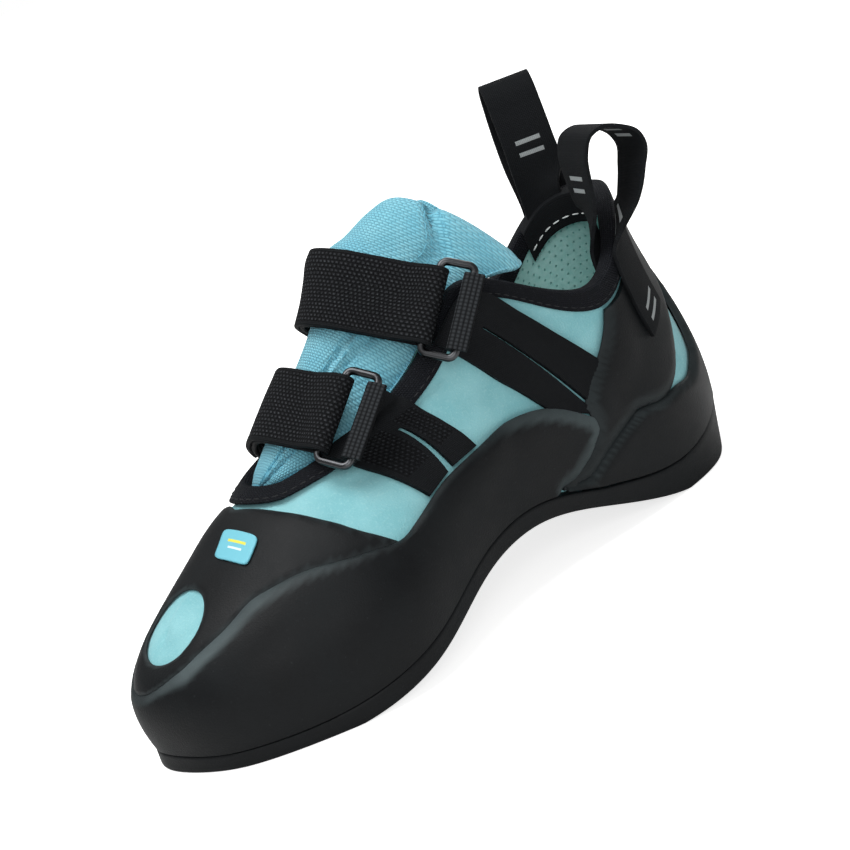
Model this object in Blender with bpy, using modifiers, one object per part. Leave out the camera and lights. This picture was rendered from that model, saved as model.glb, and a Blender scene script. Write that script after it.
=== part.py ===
"""Left climbing shoe with two hook-and-loop straps, standing empty on its sole.

Metres, +Z up. The toe points to -Y, the outer side of the foot is +X, and the
origin is the middle of the heel's flat on the floor. The whole upper comes from
one function, last_point(u, v): u runs round the foot line from the toe tip (0)
along the outer side (+) or the inner side (-) to the back of the heel (+1, -1),
and v runs up the wall from the foot line (0) to the ridge or top line (1).
Every rubber and fabric overlay is cut out of that same function.
"""
import math

import bmesh
import bpy
import numpy as np
from mathutils import Vector
from mathutils.bvhtree import BVHTree

# Driving dimensions of the last
LENGTH = 0.2205
BALL_WIDTH = 0.077
INSTEP_HEIGHT = 0.095
HEEL_HEIGHT = 0.098
COLLAR_WIDTH = 0.054
THROAT_WIDTH = 0.030
ARCH_LIFT = 0.0215
FLOOR_LAND = 0.0020

# Walls and layers
WALL = 0.0020
SOLE_THICKNESS = 0.0045
SOLE_CHAMFER = 0.0010
INSOLE_THICKNESS = 0.0018
RAND_THICKNESS = 0.0022
CAP_THICKNESS = 0.0010
BAND_THICKNESS = 0.0018
CUP_THICKNESS = 0.0024
BINDING_THICKNESS = 0.0009
BINDING_DEPTH = 0.0062
WEBBING_THICKNESS = 0.0015
TONGUE_THICKNESS = 0.0055
PATCH_THICKNESS = 0.0006
GAP = 0.00035

# Hardware, straps and loops
RING_WIRE = 0.0024
RING_LENGTH = 0.0285
RING_BREADTH = 0.0105
RING_BEND_SHARE = 0.9
STRAP_THICKNESS = 0.0016
STRAP_WIDTH = 0.0238
LOOP_WIDTH = 0.0170
LOOP_THICKNESS = 0.0012

# Fineness of the lofts
COLUMNS = 70
ROWS = 9
THROAT_START = 0.4
COLLAR_EDGE = 0.905
WELD = 0.00002
SHARP_ANGLE = 35

# Small steps for slopes and normals, and where the last's surface turns special
STEP = 0.001
TIP_END = 0.12
SLOPE_FADE = 0.05
RIDGE_V = 0.99
TOP_V = 0.985

# One row for each tenth of the way from toe tip to heel back. Lengths are shares
# of LENGTH (y), BALL_WIDTH (x and bulge), ARCH_LIFT (lift), INSTEP_HEIGHT and
# HEEL_HEIGHT (top); rise, crown and drop shape the wall's curve.
LAST_COLUMNS = ("foot_y", "outer", "inner", "lift", "bulge_out", "bulge_in", "rise", "crown",
                "drop", "top_y", "axis", "instep", "heel")
LAST_ROWS = (
    (-.880, -.18, -.18, .09, .08, .08, .70, .60, .00, -.812, -.220, .389, .000),
    (-.862, +.03, -.32, .06, .08, .08, .70, .60, .00, -.803, -.220, .410, .000),
    (-.816, +.20, -.40, .05, .09, .09, .72, .60, .00, -.766, -.210, .463, .000),
    (-.717, +.38, -.49, .09, .09, .08, .72, .58, .00, -.707, -.195, .547, .000),
    (-.594, +.48, -.52, .40, .09, .06, .68, .55, .03, -.639, -.180, .632, .000),
    (-.458, +.39, -.44, .86, .10, .08, .58, .45, .10, -.508, -.100, .716, .000),
    (-.317, +.34, -.34, 1.0, .09, .08, .50, .35, .20, -.372, -.045, .874, .000),
    (-.172, +.34, -.31, .53, .08, .08, .42, .25, .30, -.272, -.035, 1.00, .000),
    (-.036, +.32, -.31, .09, .08, .08, .35, .10, .40, -.109, .000, .000, .776),
    (+.063, +.23, -.23, .09, .09, .09, .35, .10, .40, +.009, .000, .000, .949),
    (+.118, +.00, -.00, .16, .13, .13, .35, .10, .35, +.063, .000, .000, 1.00),
)

# Half widths of the opening from the throat's front end to the heel back, as
# shares of THROAT_WIDTH and COLLAR_WIDTH.
OPENING_COLUMNS = ("along", "throat", "collar")
OPENING_ROWS = (
    (0.40, 0.00, 0.00),
    (0.43, 0.32, 0.00),
    (0.46, 0.46, 0.00),
    (0.50, 0.55, 0.00),
    (0.60, 0.67, 0.00),
    (0.70, 0.79, 0.00),
    (0.75, 0.00, 0.46),
    (0.80, 0.00, 0.50),
    (0.85, 0.00, 0.47),
    (0.90, 0.00, 0.35),
    (0.95, 0.00, 0.18),
    (1.00, 0.00, 0.00),
)


def clear_scene():
    """Removes whatever the file opened with."""
    for thing in list(bpy.data.objects):
        bpy.data.objects.remove(thing, do_unlink=True)


def column(rows, names, name, scale=1.0):
    """One named column of a table, as an array of real lengths."""
    index = names.index(name)
    return np.array([row[index] for row in rows]) * scale


def closed_spline(values):
    """Second derivatives of a smooth closed curve through equally spaced values."""
    count = len(values)
    matrix = np.zeros((count, count))
    for index in range(count):
        matrix[index, index] = 4.0
        matrix[index, (index + 1) % count] += 1.0
        matrix[index, index - 1] += 1.0
    bend = np.roll(values, -1, axis=0) - 2 * values + np.roll(values, 1, axis=0)
    return np.linalg.solve(matrix, 6 * bend)


def last_column(name, inner=False):
    """A column of the last's table in metres."""
    scales = {"foot_y": LENGTH, "top_y": LENGTH, "lift": ARCH_LIFT, "instep": INSTEP_HEIGHT,
              "heel": HEEL_HEIGHT, "rise": 1.0, "crown": 1.0, "drop": 1.0}
    if name == "side":
        name = "inner" if inner else "outer"
    if name == "bulge":
        name = "bulge_in" if inner else "bulge_out"
    return column(LAST_ROWS, LAST_COLUMNS, name, scales.get(name, BALL_WIDTH))


def ring_of_rows():
    """The table's rows in one closed ring: toe, outer side, heel, inner side."""
    names = ("foot_y", "side", "lift", "bulge", "rise", "crown", "drop", "top_y", "axis",
             "instep", "heel")
    outer = np.stack([last_column(name) for name in names], axis=1)
    inner = np.stack([last_column(name, inner=True) for name in names], axis=1)
    ring = np.concatenate([outer, inner[-2:0:-1]])
    top = ring[:, 9] + ring[:, 10]
    return np.column_stack([ring[:, :9], top])


RING = ring_of_rows()
RING_BEND = closed_spline(RING)


def ring_at(u):
    """Interpolated columns of the ring at u, where u counts modulo 2."""
    count = len(RING)
    place = np.mod(np.asarray(u, float), 2.0) * (count / 2)
    low = np.floor(place).astype(int) % count
    high = (low + 1) % count
    part = (place - np.floor(place))[..., None]
    rest = 1.0 - part
    bend = (rest ** 3 - rest) * RING_BEND[low] + (part ** 3 - part) * RING_BEND[high]
    return rest * RING[low] + part * RING[high] + bend / 6


def opening_half_width(along):
    """Half width of throat and collar at a share of the way from toe to heel."""
    half = (column(OPENING_ROWS, OPENING_COLUMNS, "throat", THROAT_WIDTH)
            + column(OPENING_ROWS, OPENING_COLUMNS, "collar", COLLAR_WIDTH))
    return smooth_curve(along, column(OPENING_ROWS, OPENING_COLUMNS, "along"), half)


def top_line(along):
    """Middle of the top line at a share of the way from toe to heel: y, x, z."""
    both = (ring_at(along) + ring_at(-along)) / 2
    return both[..., 7], both[..., 8], both[..., 9]


def foot_outward(u):
    """Unit vectors that point out of the foot line in the floor plane."""
    ahead = ring_at(u + STEP)
    behind = ring_at(u - STEP)
    along_y = ahead[..., 0] - behind[..., 0]
    along_x = ahead[..., 1] - behind[..., 1]
    size = np.hypot(along_x, along_y)
    return np.stack([along_y / size, -along_x / size], axis=-1)


def last_point(u, v):
    """A point of the last's outside: a cubic from the foot line to the top line."""
    u, v = np.broadcast_arrays(np.asarray(u, float), np.asarray(v, float))
    u = (u + 1.0) % 2.0 - 1.0
    row = ring_at(u)
    along = np.abs(u)
    top_y, axis, top_z = top_line(along)
    near = np.maximum(along, TIP_END)
    y_ahead, _, z_ahead = top_line(near + STEP)
    y_behind, _, z_behind = top_line(near - STEP)
    slope = (z_ahead - z_behind) / np.maximum(y_ahead - y_behind, WELD)
    slope = slope * np.clip((THROAT_START + SLOPE_FADE - along) / SLOPE_FADE, 0, 1)
    side = np.where(u >= 0, 1.0, -1.0)
    top = np.stack([axis + side * opening_half_width(along), top_y, top_z], axis=-1)
    foot = np.stack([row[..., 1], row[..., 0], row[..., 2] + SOLE_THICKNESS + GAP], axis=-1)
    height = top[..., 2] - foot[..., 2]
    inward = top[..., :2] - foot[..., :2]
    lower_xy = foot[..., :2] + foot_outward(u) * row[..., 3][..., None]
    lower_z = foot[..., 2] + row[..., 4] * height
    lower = np.concatenate([lower_xy, lower_z[..., None]], axis=-1)
    back = inward * row[..., 5][..., None]
    upper_z = foot[..., 2] + (1 - row[..., 6]) * height - slope * back[..., 1]
    upper = np.concatenate([top[..., :2] - back, upper_z[..., None]], axis=-1)
    t = v[..., None]
    rest = 1.0 - t
    return rest ** 3 * foot + 3 * rest ** 2 * t * lower + 3 * rest * t ** 2 * upper + t ** 3 * top


def last_normal(u, v, mirrored=True):
    """Unit normals of the last, pointing out; on the ridge both sides share one."""
    step = STEP / 2
    u, v = np.broadcast_arrays(np.asarray(u, float), np.asarray(v, float))
    low = np.clip(v - step, 0, TOP_V)
    high = np.clip(v + step, STEP, TOP_V + STEP)
    middle = (low + high) / 2
    across = last_point(u + step, middle) - last_point(u - step, middle)
    up = last_point(u, high) - last_point(u, low)
    normal = np.cross(across, up)
    normal = normal / np.linalg.norm(normal, axis=-1, keepdims=True)
    if mirrored:
        ridge = (v > RIDGE_V) & (np.abs((u + 1.0) % 2.0 - 1.0) <= THROAT_START)
        other = last_normal(-u, v, mirrored=False)
        normal = np.where(ridge[..., None], normal + other, normal)
        normal = normal / np.linalg.norm(normal, axis=-1, keepdims=True)
    return normal


def last_offset(u, v, distance):
    """A point at a distance outside the last."""
    distance = np.asarray(distance, float)
    return last_point(u, v) + last_normal(u, v) * distance[..., None]


def smooth_curve(places, knots, values):
    """A smooth curve through a table's rows, flat beyond its ends."""
    knots = np.asarray(knots, float)
    values = np.asarray(values, float)
    slopes = np.gradient(values, knots)
    places = np.clip(places, knots[0], knots[-1])
    low = np.clip(np.searchsorted(knots, places, side="right") - 1, 0, len(knots) - 2)
    span = knots[low + 1] - knots[low]
    t = (places - knots[low]) / span
    start = values[low] * (2 * t ** 3 - 3 * t ** 2 + 1) + slopes[low] * span * (t ** 3 - 2 * t ** 2 + t)
    end = values[low + 1] * (3 * t ** 2 - 2 * t ** 3) + slopes[low + 1] * span * (t ** 3 - t ** 2)
    return start + end


def make_material(name, colour, roughness, metallic=0.0):
    """A plain Principled material in the part's own colour."""
    material = bpy.data.materials.new(name)
    material.use_nodes = True
    shader = material.node_tree.nodes["Principled BSDF"]
    shader.inputs["Base Color"].default_value = (*colour, 1.0)
    shader.inputs["Roughness"].default_value = roughness
    shader.inputs["Metallic"].default_value = metallic
    material.diffuse_color = (*colour, 1.0)
    return material


def add_object(name, points, faces, material, collection):
    """Welds a loft's points and links it as one smooth object."""
    work = bmesh.new()
    verts = [work.verts.new(point) for point in points]
    for face in faces:
        corners = [verts[index] for index in face]
        if len(set(face)) == len(face):
            work.faces.new(corners)
    bmesh.ops.remove_doubles(work, verts=work.verts, dist=WELD)
    bmesh.ops.dissolve_degenerate(work, dist=WELD, edges=work.edges)
    loose = [vert for vert in work.verts if not vert.link_faces]
    bmesh.ops.delete(work, geom=loose, context="VERTS")
    if not any(edge.is_boundary for edge in work.edges):
        bmesh.ops.recalc_face_normals(work, faces=work.faces)
        if work.calc_volume(signed=True) < 0:
            bmesh.ops.reverse_faces(work, faces=work.faces)
    mesh = bpy.data.meshes.new(name)
    work.to_mesh(mesh)
    work.free()
    mesh.materials.append(material)
    mesh.shade_smooth()
    mesh.set_sharp_from_angle(angle=math.radians(SHARP_ANGLE))
    thing = bpy.data.objects.new(name, mesh)
    collection.objects.link(thing)
    return thing


def solidify(thing, thickness, outward):
    """Gives an open sheet its wall, outside or inside the modelled face."""
    modifier = thing.modifiers.new("wall", "SOLIDIFY")
    modifier.thickness = thickness
    modifier.offset = 1.0 if outward else -1.0
    modifier.use_even_offset = False
    modifier.use_rim = True
    return modifier


def ring_faces(count, rings):
    """Quads between closed rings of points, listed ring after ring."""
    faces = []
    for ring in range(rings - 1):
        for index in range(count):
            after = (index + 1) % count
            base = ring * count
            faces.append((base + index, base + after, base + count + after, base + count + index))
    return faces


def zip_faces(count, base, flip):
    """Closes a ring across the foot, from each point to its mirror point."""
    faces = []
    for index in range(count // 2):
        far = (count - index) % count
        face = [base + index, base + index + 1, base + (count - index - 1) % count, base + far]
        face = list(dict.fromkeys(face))
        faces.append(tuple(reversed(face)) if flip else tuple(face))
    return faces


def fold(u):
    """u counted from -1 to 1."""
    return (u + 1.0) % 2.0 - 1.0


def lattice_u():
    """The u values of one closed ring of the last, from the toe tip round."""
    return np.arange(COLUMNS) * (2.0 / COLUMNS)


def lattice_between(low, high):
    """The upper's own u values between two places round it."""
    step = 2.0 / COLUMNS
    return np.arange(math.ceil(low / step), math.floor(high / step) + 1) * step


def build_upper(material, collection):
    """The suede body: one wall, open at throat, collar and underneath."""
    u = lattice_u()
    points = []
    for row in range(ROWS + 1):
        points.extend(last_point(u, np.full(COLUMNS, row / ROWS)))
    thing = add_object("upper", points, ring_faces(COLUMNS, ROWS + 1), material, collection)
    solidify(thing, WALL, outward=False)
    return thing


# Top edge of the sole's heel lip, as places u and v
HEEL_LIP = ((0.68, 0.000), (0.75, 0.030), (0.83, 0.095), (0.92, 0.120), (1.00, 0.125))


def heel_lip(u):
    """Height of the sole's lip, as v, which is zero before the heel."""
    knots, heights = zip(*HEEL_LIP)
    return smooth_curve(np.abs(u), knots, heights)


# How far in from its edge the sole's faces are joined across, and how many
# places the arch is read at
MIDDLE_SHARE = 0.3
ARCH_STATIONS = 201


def foot_line(u, outset=0.0):
    """The foot line seen from above, moved out by a distance: x and y."""
    row = ring_at(u)
    return np.stack([row[..., 1], row[..., 0]], axis=-1) + foot_outward(u) * outset


def middle_line(u, outset=0.0):
    """A ring well inside the foot line, where the sole's faces are joined across."""
    own = foot_line(u, outset)
    other = foot_line(-u, outset)
    return own + (other - own) * MIDDLE_SHARE


def arch_height(y):
    """Height of the foot line over the floor, at a place along the shoe."""
    row = ring_at(np.linspace(0, 1, ARCH_STATIONS))
    return np.interp(y, row[:, 0], row[:, 2])


def build_outsole(material, collection):
    """The rubber sole, flat on the floor at forefoot and heel, with a heel lip."""
    u = fold(lattice_u())
    edge = GAP + RAND_THICKNESS

    def level(outline, height):
        return np.column_stack([outline, arch_height(outline[:, 1]) + height])

    def ground(outline, height):
        flat = np.maximum(arch_height(outline[:, 1]) - FLOOR_LAND, 0.0)
        return np.column_stack([outline, flat + height])

    lip = heel_lip(u)
    drop = np.array([0.0, 0.0, GAP])
    rings = [
        ground(middle_line(u), 0.0),
        ground(foot_line(u, edge - SOLE_CHAMFER), 0.0),
        ground(foot_line(u, edge), SOLE_CHAMFER),
        last_offset(u, lip, np.full(COLUMNS, edge)) - drop,
        last_offset(u, lip, np.full(COLUMNS, GAP)) - drop,
        level(foot_line(u, GAP), SOLE_THICKNESS),
        level(middle_line(u), SOLE_THICKNESS),
    ]
    faces = ring_faces(COLUMNS, len(rings))
    faces += zip_faces(COLUMNS, 0, flip=True)
    faces += zip_faces(COLUMNS, (len(rings) - 1) * COLUMNS, flip=False)
    return add_object("outsole", np.concatenate(rings), faces, material, collection)


def build_insole(material, collection):
    """The thin board that lies on the outsole inside the wall."""
    u = fold(lattice_u())
    rings = []
    inset = -(WALL + 5 * GAP)
    floor = SOLE_THICKNESS + GAP
    for outline, height in ((middle_line(u, inset), floor), (foot_line(u, inset), floor),
                            (foot_line(u, inset), floor + INSOLE_THICKNESS),
                            (middle_line(u, inset), floor + INSOLE_THICKNESS)):
        rings.append(np.column_stack([outline, arch_height(outline[:, 1]) + height]))
    faces = ring_faces(COLUMNS, len(rings))
    faces += zip_faces(COLUMNS, 0, flip=True)
    faces += zip_faces(COLUMNS, (len(rings) - 1) * COLUMNS, flip=False)
    return add_object("insole", np.concatenate(rings), faces, material, collection)


# The tongue's face. Up to the collar its edges follow the throat; above it they
# are free. Columns: along the top line, or beyond it; free edge as shares of
# LENGTH, INSTEP_HEIGHT and THROAT_WIDTH; the crown's step forward, up and to the
# inner side from the edges, as shares of LENGTH, INSTEP_HEIGHT and BALL_WIDTH.
TONGUE_COLUMNS = ("along", "free_y", "free_z", "free_half", "forward", "rise", "lean")
TONGUE_ROWS = (
    (0.425, .000, .000, .000, .006, .020, .00),
    (0.440, .000, .000, .000, .010, .045, .01),
    (0.465, .000, .000, .000, .015, .080, .03),
    (0.500, .000, .000, .000, .024, .135, .06),
    (0.540, .000, .000, .000, .034, .168, .09),
    (0.580, .000, .000, .000, .044, .190, .11),
    (0.620, .000, .000, .000, .052, .205, .12),
    (0.660, .000, .000, .000, .060, .225, .12),
    (0.700, .000, .000, .000, .070, .250, .11),
    (0.740, -.228, 1.00, .680, .074, .300, .10),
    (0.760, -.196, 0.99, .640, .068, .325, .08),
    (0.780, -.190, 1.03, .400, .036, .225, .05),
)
CROWN_ROUNDNESS = 2.2
BACK_TAPER = 0.35
SECTION_POINTS = 9
TONGUE_STATIONS = 17


def tongue_rows():
    """The rows of the tongue in metres: y, z, axis and half width, crown step."""
    along = column(TONGUE_ROWS, TONGUE_COLUMNS, "along")
    free = column(TONGUE_ROWS, TONGUE_COLUMNS, "free_half") > 0
    edge_y, axis, edge_z = top_line(along)
    clearance = WALL + BINDING_THICKNESS + 4 * GAP
    half = opening_half_width(along) - clearance
    edge_y = np.where(free, column(TONGUE_ROWS, TONGUE_COLUMNS, "free_y", LENGTH), edge_y)
    edge_z = np.where(free, column(TONGUE_ROWS, TONGUE_COLUMNS, "free_z", INSTEP_HEIGHT), edge_z)
    half = np.where(free, column(TONGUE_ROWS, TONGUE_COLUMNS, "free_half", THROAT_WIDTH), half)
    forward = column(TONGUE_ROWS, TONGUE_COLUMNS, "forward", LENGTH)
    rise = column(TONGUE_ROWS, TONGUE_COLUMNS, "rise", INSTEP_HEIGHT)
    lean = column(TONGUE_ROWS, TONGUE_COLUMNS, "lean", BALL_WIDTH)
    return np.stack([edge_y, edge_z, axis, half, forward, rise, lean], axis=1)


def tongue_point(along, across, depth=0.0):
    """A point of the tongue: along 0 to 1, across -1 to 1, depth behind its face."""
    knots = np.linspace(0, 1, len(TONGUE_ROWS))
    rows = tongue_rows()
    edge_y, edge_z, axis, half, forward, rise, lean = [
        smooth_curve(along, knots, rows[:, index]) for index in range(7)]
    crown = 1.0 - np.abs(across) ** CROWN_ROUNDNESS
    x = axis + (half - BACK_TAPER * depth) * across - lean * crown
    y = edge_y - forward * crown
    z = edge_z + rise * crown - depth
    return np.stack(np.broadcast_arrays(x, y, z), axis=-1)


def tongue_normal(along, across):
    """Unit normals of the tongue's face, pointing out of the foot."""
    step = 4 * STEP
    low = np.clip(np.asarray(across, float) - step, -1, 1)
    high = np.clip(np.asarray(across, float) + step, -1, 1)
    behind = np.clip(np.asarray(along, float) - step, 0, 1)
    ahead = np.clip(np.asarray(along, float) + step, 0, 1)
    side = tongue_point(along, high) - tongue_point(along, low)
    up = tongue_point(ahead, across) - tongue_point(behind, across)
    normal = np.cross(side, up)
    return normal / np.linalg.norm(normal, axis=-1, keepdims=True)


def section_caps(count, last):
    """Caps of a loft whose sections run out along a face and back behind it."""
    faces = []
    for index in range(count // 2 - 1):
        mirror = count - 1 - index
        faces.append((index, mirror, mirror - 1, index + 1))
        faces.append((last + index, last + index + 1, last + mirror - 1, last + mirror))
    return faces


def build_tongue(material, collection):
    """The padded tongue, a cushion between the throat's edges with a free top."""
    across = np.sin(np.linspace(-1, 1, SECTION_POINTS) * math.pi / 2)
    rings = []
    for along in np.linspace(0, 1, TONGUE_STATIONS):
        face = tongue_point(along, across)
        back = tongue_point(along, across, TONGUE_THICKNESS)[::-1]
        rings.append(np.concatenate([face, back]))
    count = 2 * SECTION_POINTS
    faces = ring_faces(count, len(rings))
    faces += section_caps(count, (len(rings) - 1) * count)
    return add_object("tongue", np.concatenate(rings), faces, material, collection)


# Outlines of the overlays on the last, as places u and v
RAND_TOP = (
    (-.700, .200), (-.620, .300), (-.550, .340), (-.420, .340), (-.370, .400), (-.330, .460),
    (-.265, .510), (-.218, .500), (-.163, .450), (-.083, .360), (-.057, .350), (.002, .385),
    (.083, .500), (.163, .556), (.218, .569), (.265, .600), (.328, .525), (.375, .425),
    (.423, .344), (.480, .381), (.508, .394), (.558, .375), (.600, .375), (.653, .338),
    (.680, .306), (.695, .288), (.705, .260),
)
WING_EDGE = ((.000, .620), (.038, .655), (.119, .683), (.219, .705), (.300, .706))
CAP_REAR = ((.344, .423), (.481, .405), (.631, .393), (.794, .385), (1.00, .382))
CAP_WINDOW = (-.170, -.808, .150, .047)
BAND_FRONT = (
    (.000, .633), (.113, .657), (.263, .690), (.450, .728), (.606, .758), (.719, .778),
    (.844, .798), (.931, .812), (1.00, .822),
)
BAND_BACK = (
    (.000, .640), (.031, .673), (.219, .732), (.375, .775), (.400, .835), (.450, .868),
    (.520, .905), (.600, .945), (.700, .975), (.800, 1.01),
)
CUP_TOP = (
    (.640, .000), (.673, .016), (.732, .200), (.775, .355), (.835, .380), (.875, .310),
    (.925, .330), (.945, .450), (.960, .600), (.980, .690), (1.00, .740),
)
PATCH_POINTS = 4
PATCH_CORNERS = ((.338, .963), (.338, .775), (.295, .731), (.282, .931))
PANEL_CLEARANCE = 0.010
WING_TOP = 0.29


def read_row(places, knots_and_values):
    """Reads a short table of knots and values by straight runs."""
    knots, values = zip(*knots_and_values)
    return np.interp(places, knots, values)


def clip_polygon(polygon, level):
    """Keeps the part of one cell where a level of its corners is positive."""
    kept = []
    for index, corner in enumerate(polygon):
        after = polygon[(index + 1) % len(polygon)]
        here, there = level(corner), level(after)
        if here >= 0:
            kept.append(corner)
        if (here >= 0) != (there >= 0):
            low, high = (corner, after) if corner < after else (after, corner)
            low_level, high_level = (here, there) if corner < after else (there, here)
            share = low_level / (low_level - high_level)
            kept.append((low[0] + (high[0] - low[0]) * share, low[1] + (high[1] - low[1]) * share))
    return kept


def cut_panel(name, levels, lift, thickness, material, collection, span=(-1.0, 1.0)):
    """An overlay: the last's own lattice cut where every level is positive."""
    step = 2.0 / COLUMNS
    first = math.floor(span[0] / step)
    final = math.ceil(span[1] / step)
    points = []
    faces = []
    for column_index in range(first, final):
        for row in range(ROWS):
            low_u, high_u = column_index * step, (column_index + 1) * step
            low_v, high_v = row / ROWS, (row + 1) / ROWS
            polygon = [(low_u, low_v), (high_u, low_v), (high_u, high_v), (low_u, high_v)]
            for level in levels:
                polygon = clip_polygon(polygon, level) if len(polygon) > 2 else []
            if len(polygon) > 2:
                faces.append(tuple(range(len(points), len(points) + len(polygon))))
                points.extend(polygon)
    places = np.array(points)
    solid = last_offset(places[:, 0], places[:, 1], lift(places[:, 0], places[:, 1]))
    thing = add_object(name, solid, faces, material, collection)
    solidify(thing, thickness, outward=True)
    return thing


def flat_lift(u, v):
    """Overlays lie one clearance off the upper."""
    return np.full(np.shape(u), GAP)


def build_side_rand(material, collection):
    """The thick rubber strip round the toe and both sides, up to the outer wing."""
    levels = (
        lambda p: read_row(fold(p[0]), RAND_TOP) - p[1],
        lambda p: read_row(p[1], WING_EDGE) - p[0],
        lambda p: p[0] + read_row(p[1], WING_EDGE) - PANEL_CLEARANCE,
    )
    return cut_panel("side_rand", levels, flat_lift, RAND_THICKNESS, material, collection,
                     span=(-.74, .74))


def build_toe_cap(material, collection):
    """The thin rubber over the toes, with a round window."""
    def window(place):
        point = last_point(place[0], place[1])
        across = (point[0] / BALL_WIDTH - CAP_WINDOW[0]) / CAP_WINDOW[2]
        ahead = (point[1] / LENGTH - CAP_WINDOW[1]) / CAP_WINDOW[3]
        return math.hypot(across, ahead) - 1.0

    levels = (
        lambda p: p[1] - read_row(p[0], RAND_TOP) - PANEL_CLEARANCE,
        lambda p: read_row(p[1], CAP_REAR) - p[0],
        lambda p: read_row(p[1], CAP_REAR) + p[0],
        window,
    )
    return cut_panel("toe_cap", levels, flat_lift, CAP_THICKNESS, material, collection,
                     span=(-.44, .44))


def build_heel_band(material, collection):
    """The rubber band that runs from the arch on each side up round the heel's top."""
    def front(place):
        side = abs(fold(place[0]))
        wing = read_row(place[1], WING_EDGE) + PANEL_CLEARANCE
        edge = read_row(place[1], BAND_FRONT)
        return side - (max(edge, wing) if place[1] < WING_TOP else edge)

    levels = (
        front,
        lambda p: read_row(p[1], BAND_BACK) - PANEL_CLEARANCE / 2 - abs(fold(p[0])),
        lambda p: p[1] - heel_lip(p[0]) - PANEL_CLEARANCE,
        lambda p: COLLAR_EDGE - p[1],
    )
    return cut_panel("heel_band", levels, flat_lift, BAND_THICKNESS, material, collection,
                     span=(.6, 1.4))


def build_heel_cup(material, collection):
    """The moulded rubber round the heel, with a strip up its back."""
    levels = (
        lambda p: read_row(abs(fold(p[0])), CUP_TOP) - p[1],
        lambda p: p[1] - heel_lip(fold(p[0])) - PANEL_CLEARANCE,
        lambda p: abs(fold(p[0])) - CUP_TOP[0][0],
    )
    return cut_panel("heel_cup", levels, flat_lift, CUP_THICKNESS, material, collection,
                     span=(.6, 1.4))


def sheet_faces(rows, columns, keep=None):
    """Quads of an open lattice of points, listed row after row."""
    faces = []
    for row in range(rows - 1):
        for index in range(columns - 1):
            if keep is None or keep(row, index):
                base = row * columns + index
                faces.append((base, base + 1, base + columns + 1, base + columns))
    return faces


# The stretch of v in which a binding's lower edge is looked for, and the place
# from which its rise over the edge is read
BINDING_SEARCH = np.linspace(0.7, 1.0, 61)
RISE_V = 0.97


def binding_depth_v(u):
    """The v at which a binding ends, one binding depth below the edge."""
    depths = []
    for place in u:
        line = last_point(np.full(len(BINDING_SEARCH), place), BINDING_SEARCH)
        distance = np.linalg.norm(line - line[-1], axis=1)[::-1]
        depths.append(np.interp(BINDING_DEPTH, distance, BINDING_SEARCH[::-1]))
    return np.array(depths)


def build_binding(name, u, material, collection):
    """A folded tape: a channel whose two legs hold the upper's edge between them."""
    bottom = binding_depth_v(u)
    edge = last_point(u, np.ones(len(u)))
    rise = edge - last_point(u, np.full(len(u), RISE_V))
    rise = rise / np.linalg.norm(rise, axis=1, keepdims=True)
    inner = -(WALL + 3 * GAP)
    outer = 2 * GAP
    levels = (
        (outer, GAP), (outer + BINDING_THICKNESS, GAP),
        (outer + BINDING_THICKNESS, GAP + BINDING_THICKNESS),
        (inner - BINDING_THICKNESS, GAP + BINDING_THICKNESS),
        (inner - BINDING_THICKNESS, GAP), (inner, GAP), (inner, GAP), (outer, GAP),
    )
    points = []
    for index in range(len(u)):
        for corner, (offset, above) in enumerate(levels):
            low = corner in (0, 1, 4, 5)
            if low:
                point = last_offset(u[index], bottom[index], offset)
            else:
                point = last_offset(u[index], 1.0, offset) + rise[index] * above
            points.append(point)
    count = len(levels)
    faces = ring_faces(count, len(u))
    final = (len(u) - 1) * count
    for base, flip in ((0, False), (final, True)):
        for face in ((0, 1, 2, 7), (7, 2, 3, 6), (6, 3, 4, 5)):
            corners = tuple(base + index for index in face)
            faces.append(corners[::-1] if flip else corners)
    return add_object(name, points, faces, material, collection)


# Where each ring lies: middle as shares of BALL_WIDTH, LENGTH and INSTEP_HEIGHT,
# the climb of its long bars and its roll to the outer side in degrees.
RING_COLUMNS = ("x", "y", "z", "climb", "roll")
RING_ROWS = {
    "lower": (.190, -.522, .798, 41, 33),
    "upper": (.322, -.342, .974, 48, 42),
}


def ring_frame(which):
    """Middle, long axis, axis to the outer bar and outward normal of one ring."""
    place = dict(zip(RING_COLUMNS, RING_ROWS[which]))
    middle = np.array([place["x"] * BALL_WIDTH, place["y"] * LENGTH, place["z"] * INSTEP_HEIGHT])
    climb = math.radians(place["climb"])
    roll = math.radians(place["roll"])
    along = np.array([0.0, math.cos(climb), math.sin(climb)])
    lifted = np.array([0.0, -math.sin(climb), math.cos(climb)])
    side = np.array([1.0, 0.0, 0.0])
    outer = math.cos(roll) * side - math.sin(roll) * lifted
    normal = math.sin(roll) * side + math.cos(roll) * lifted
    return middle, along, outer, normal


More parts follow.
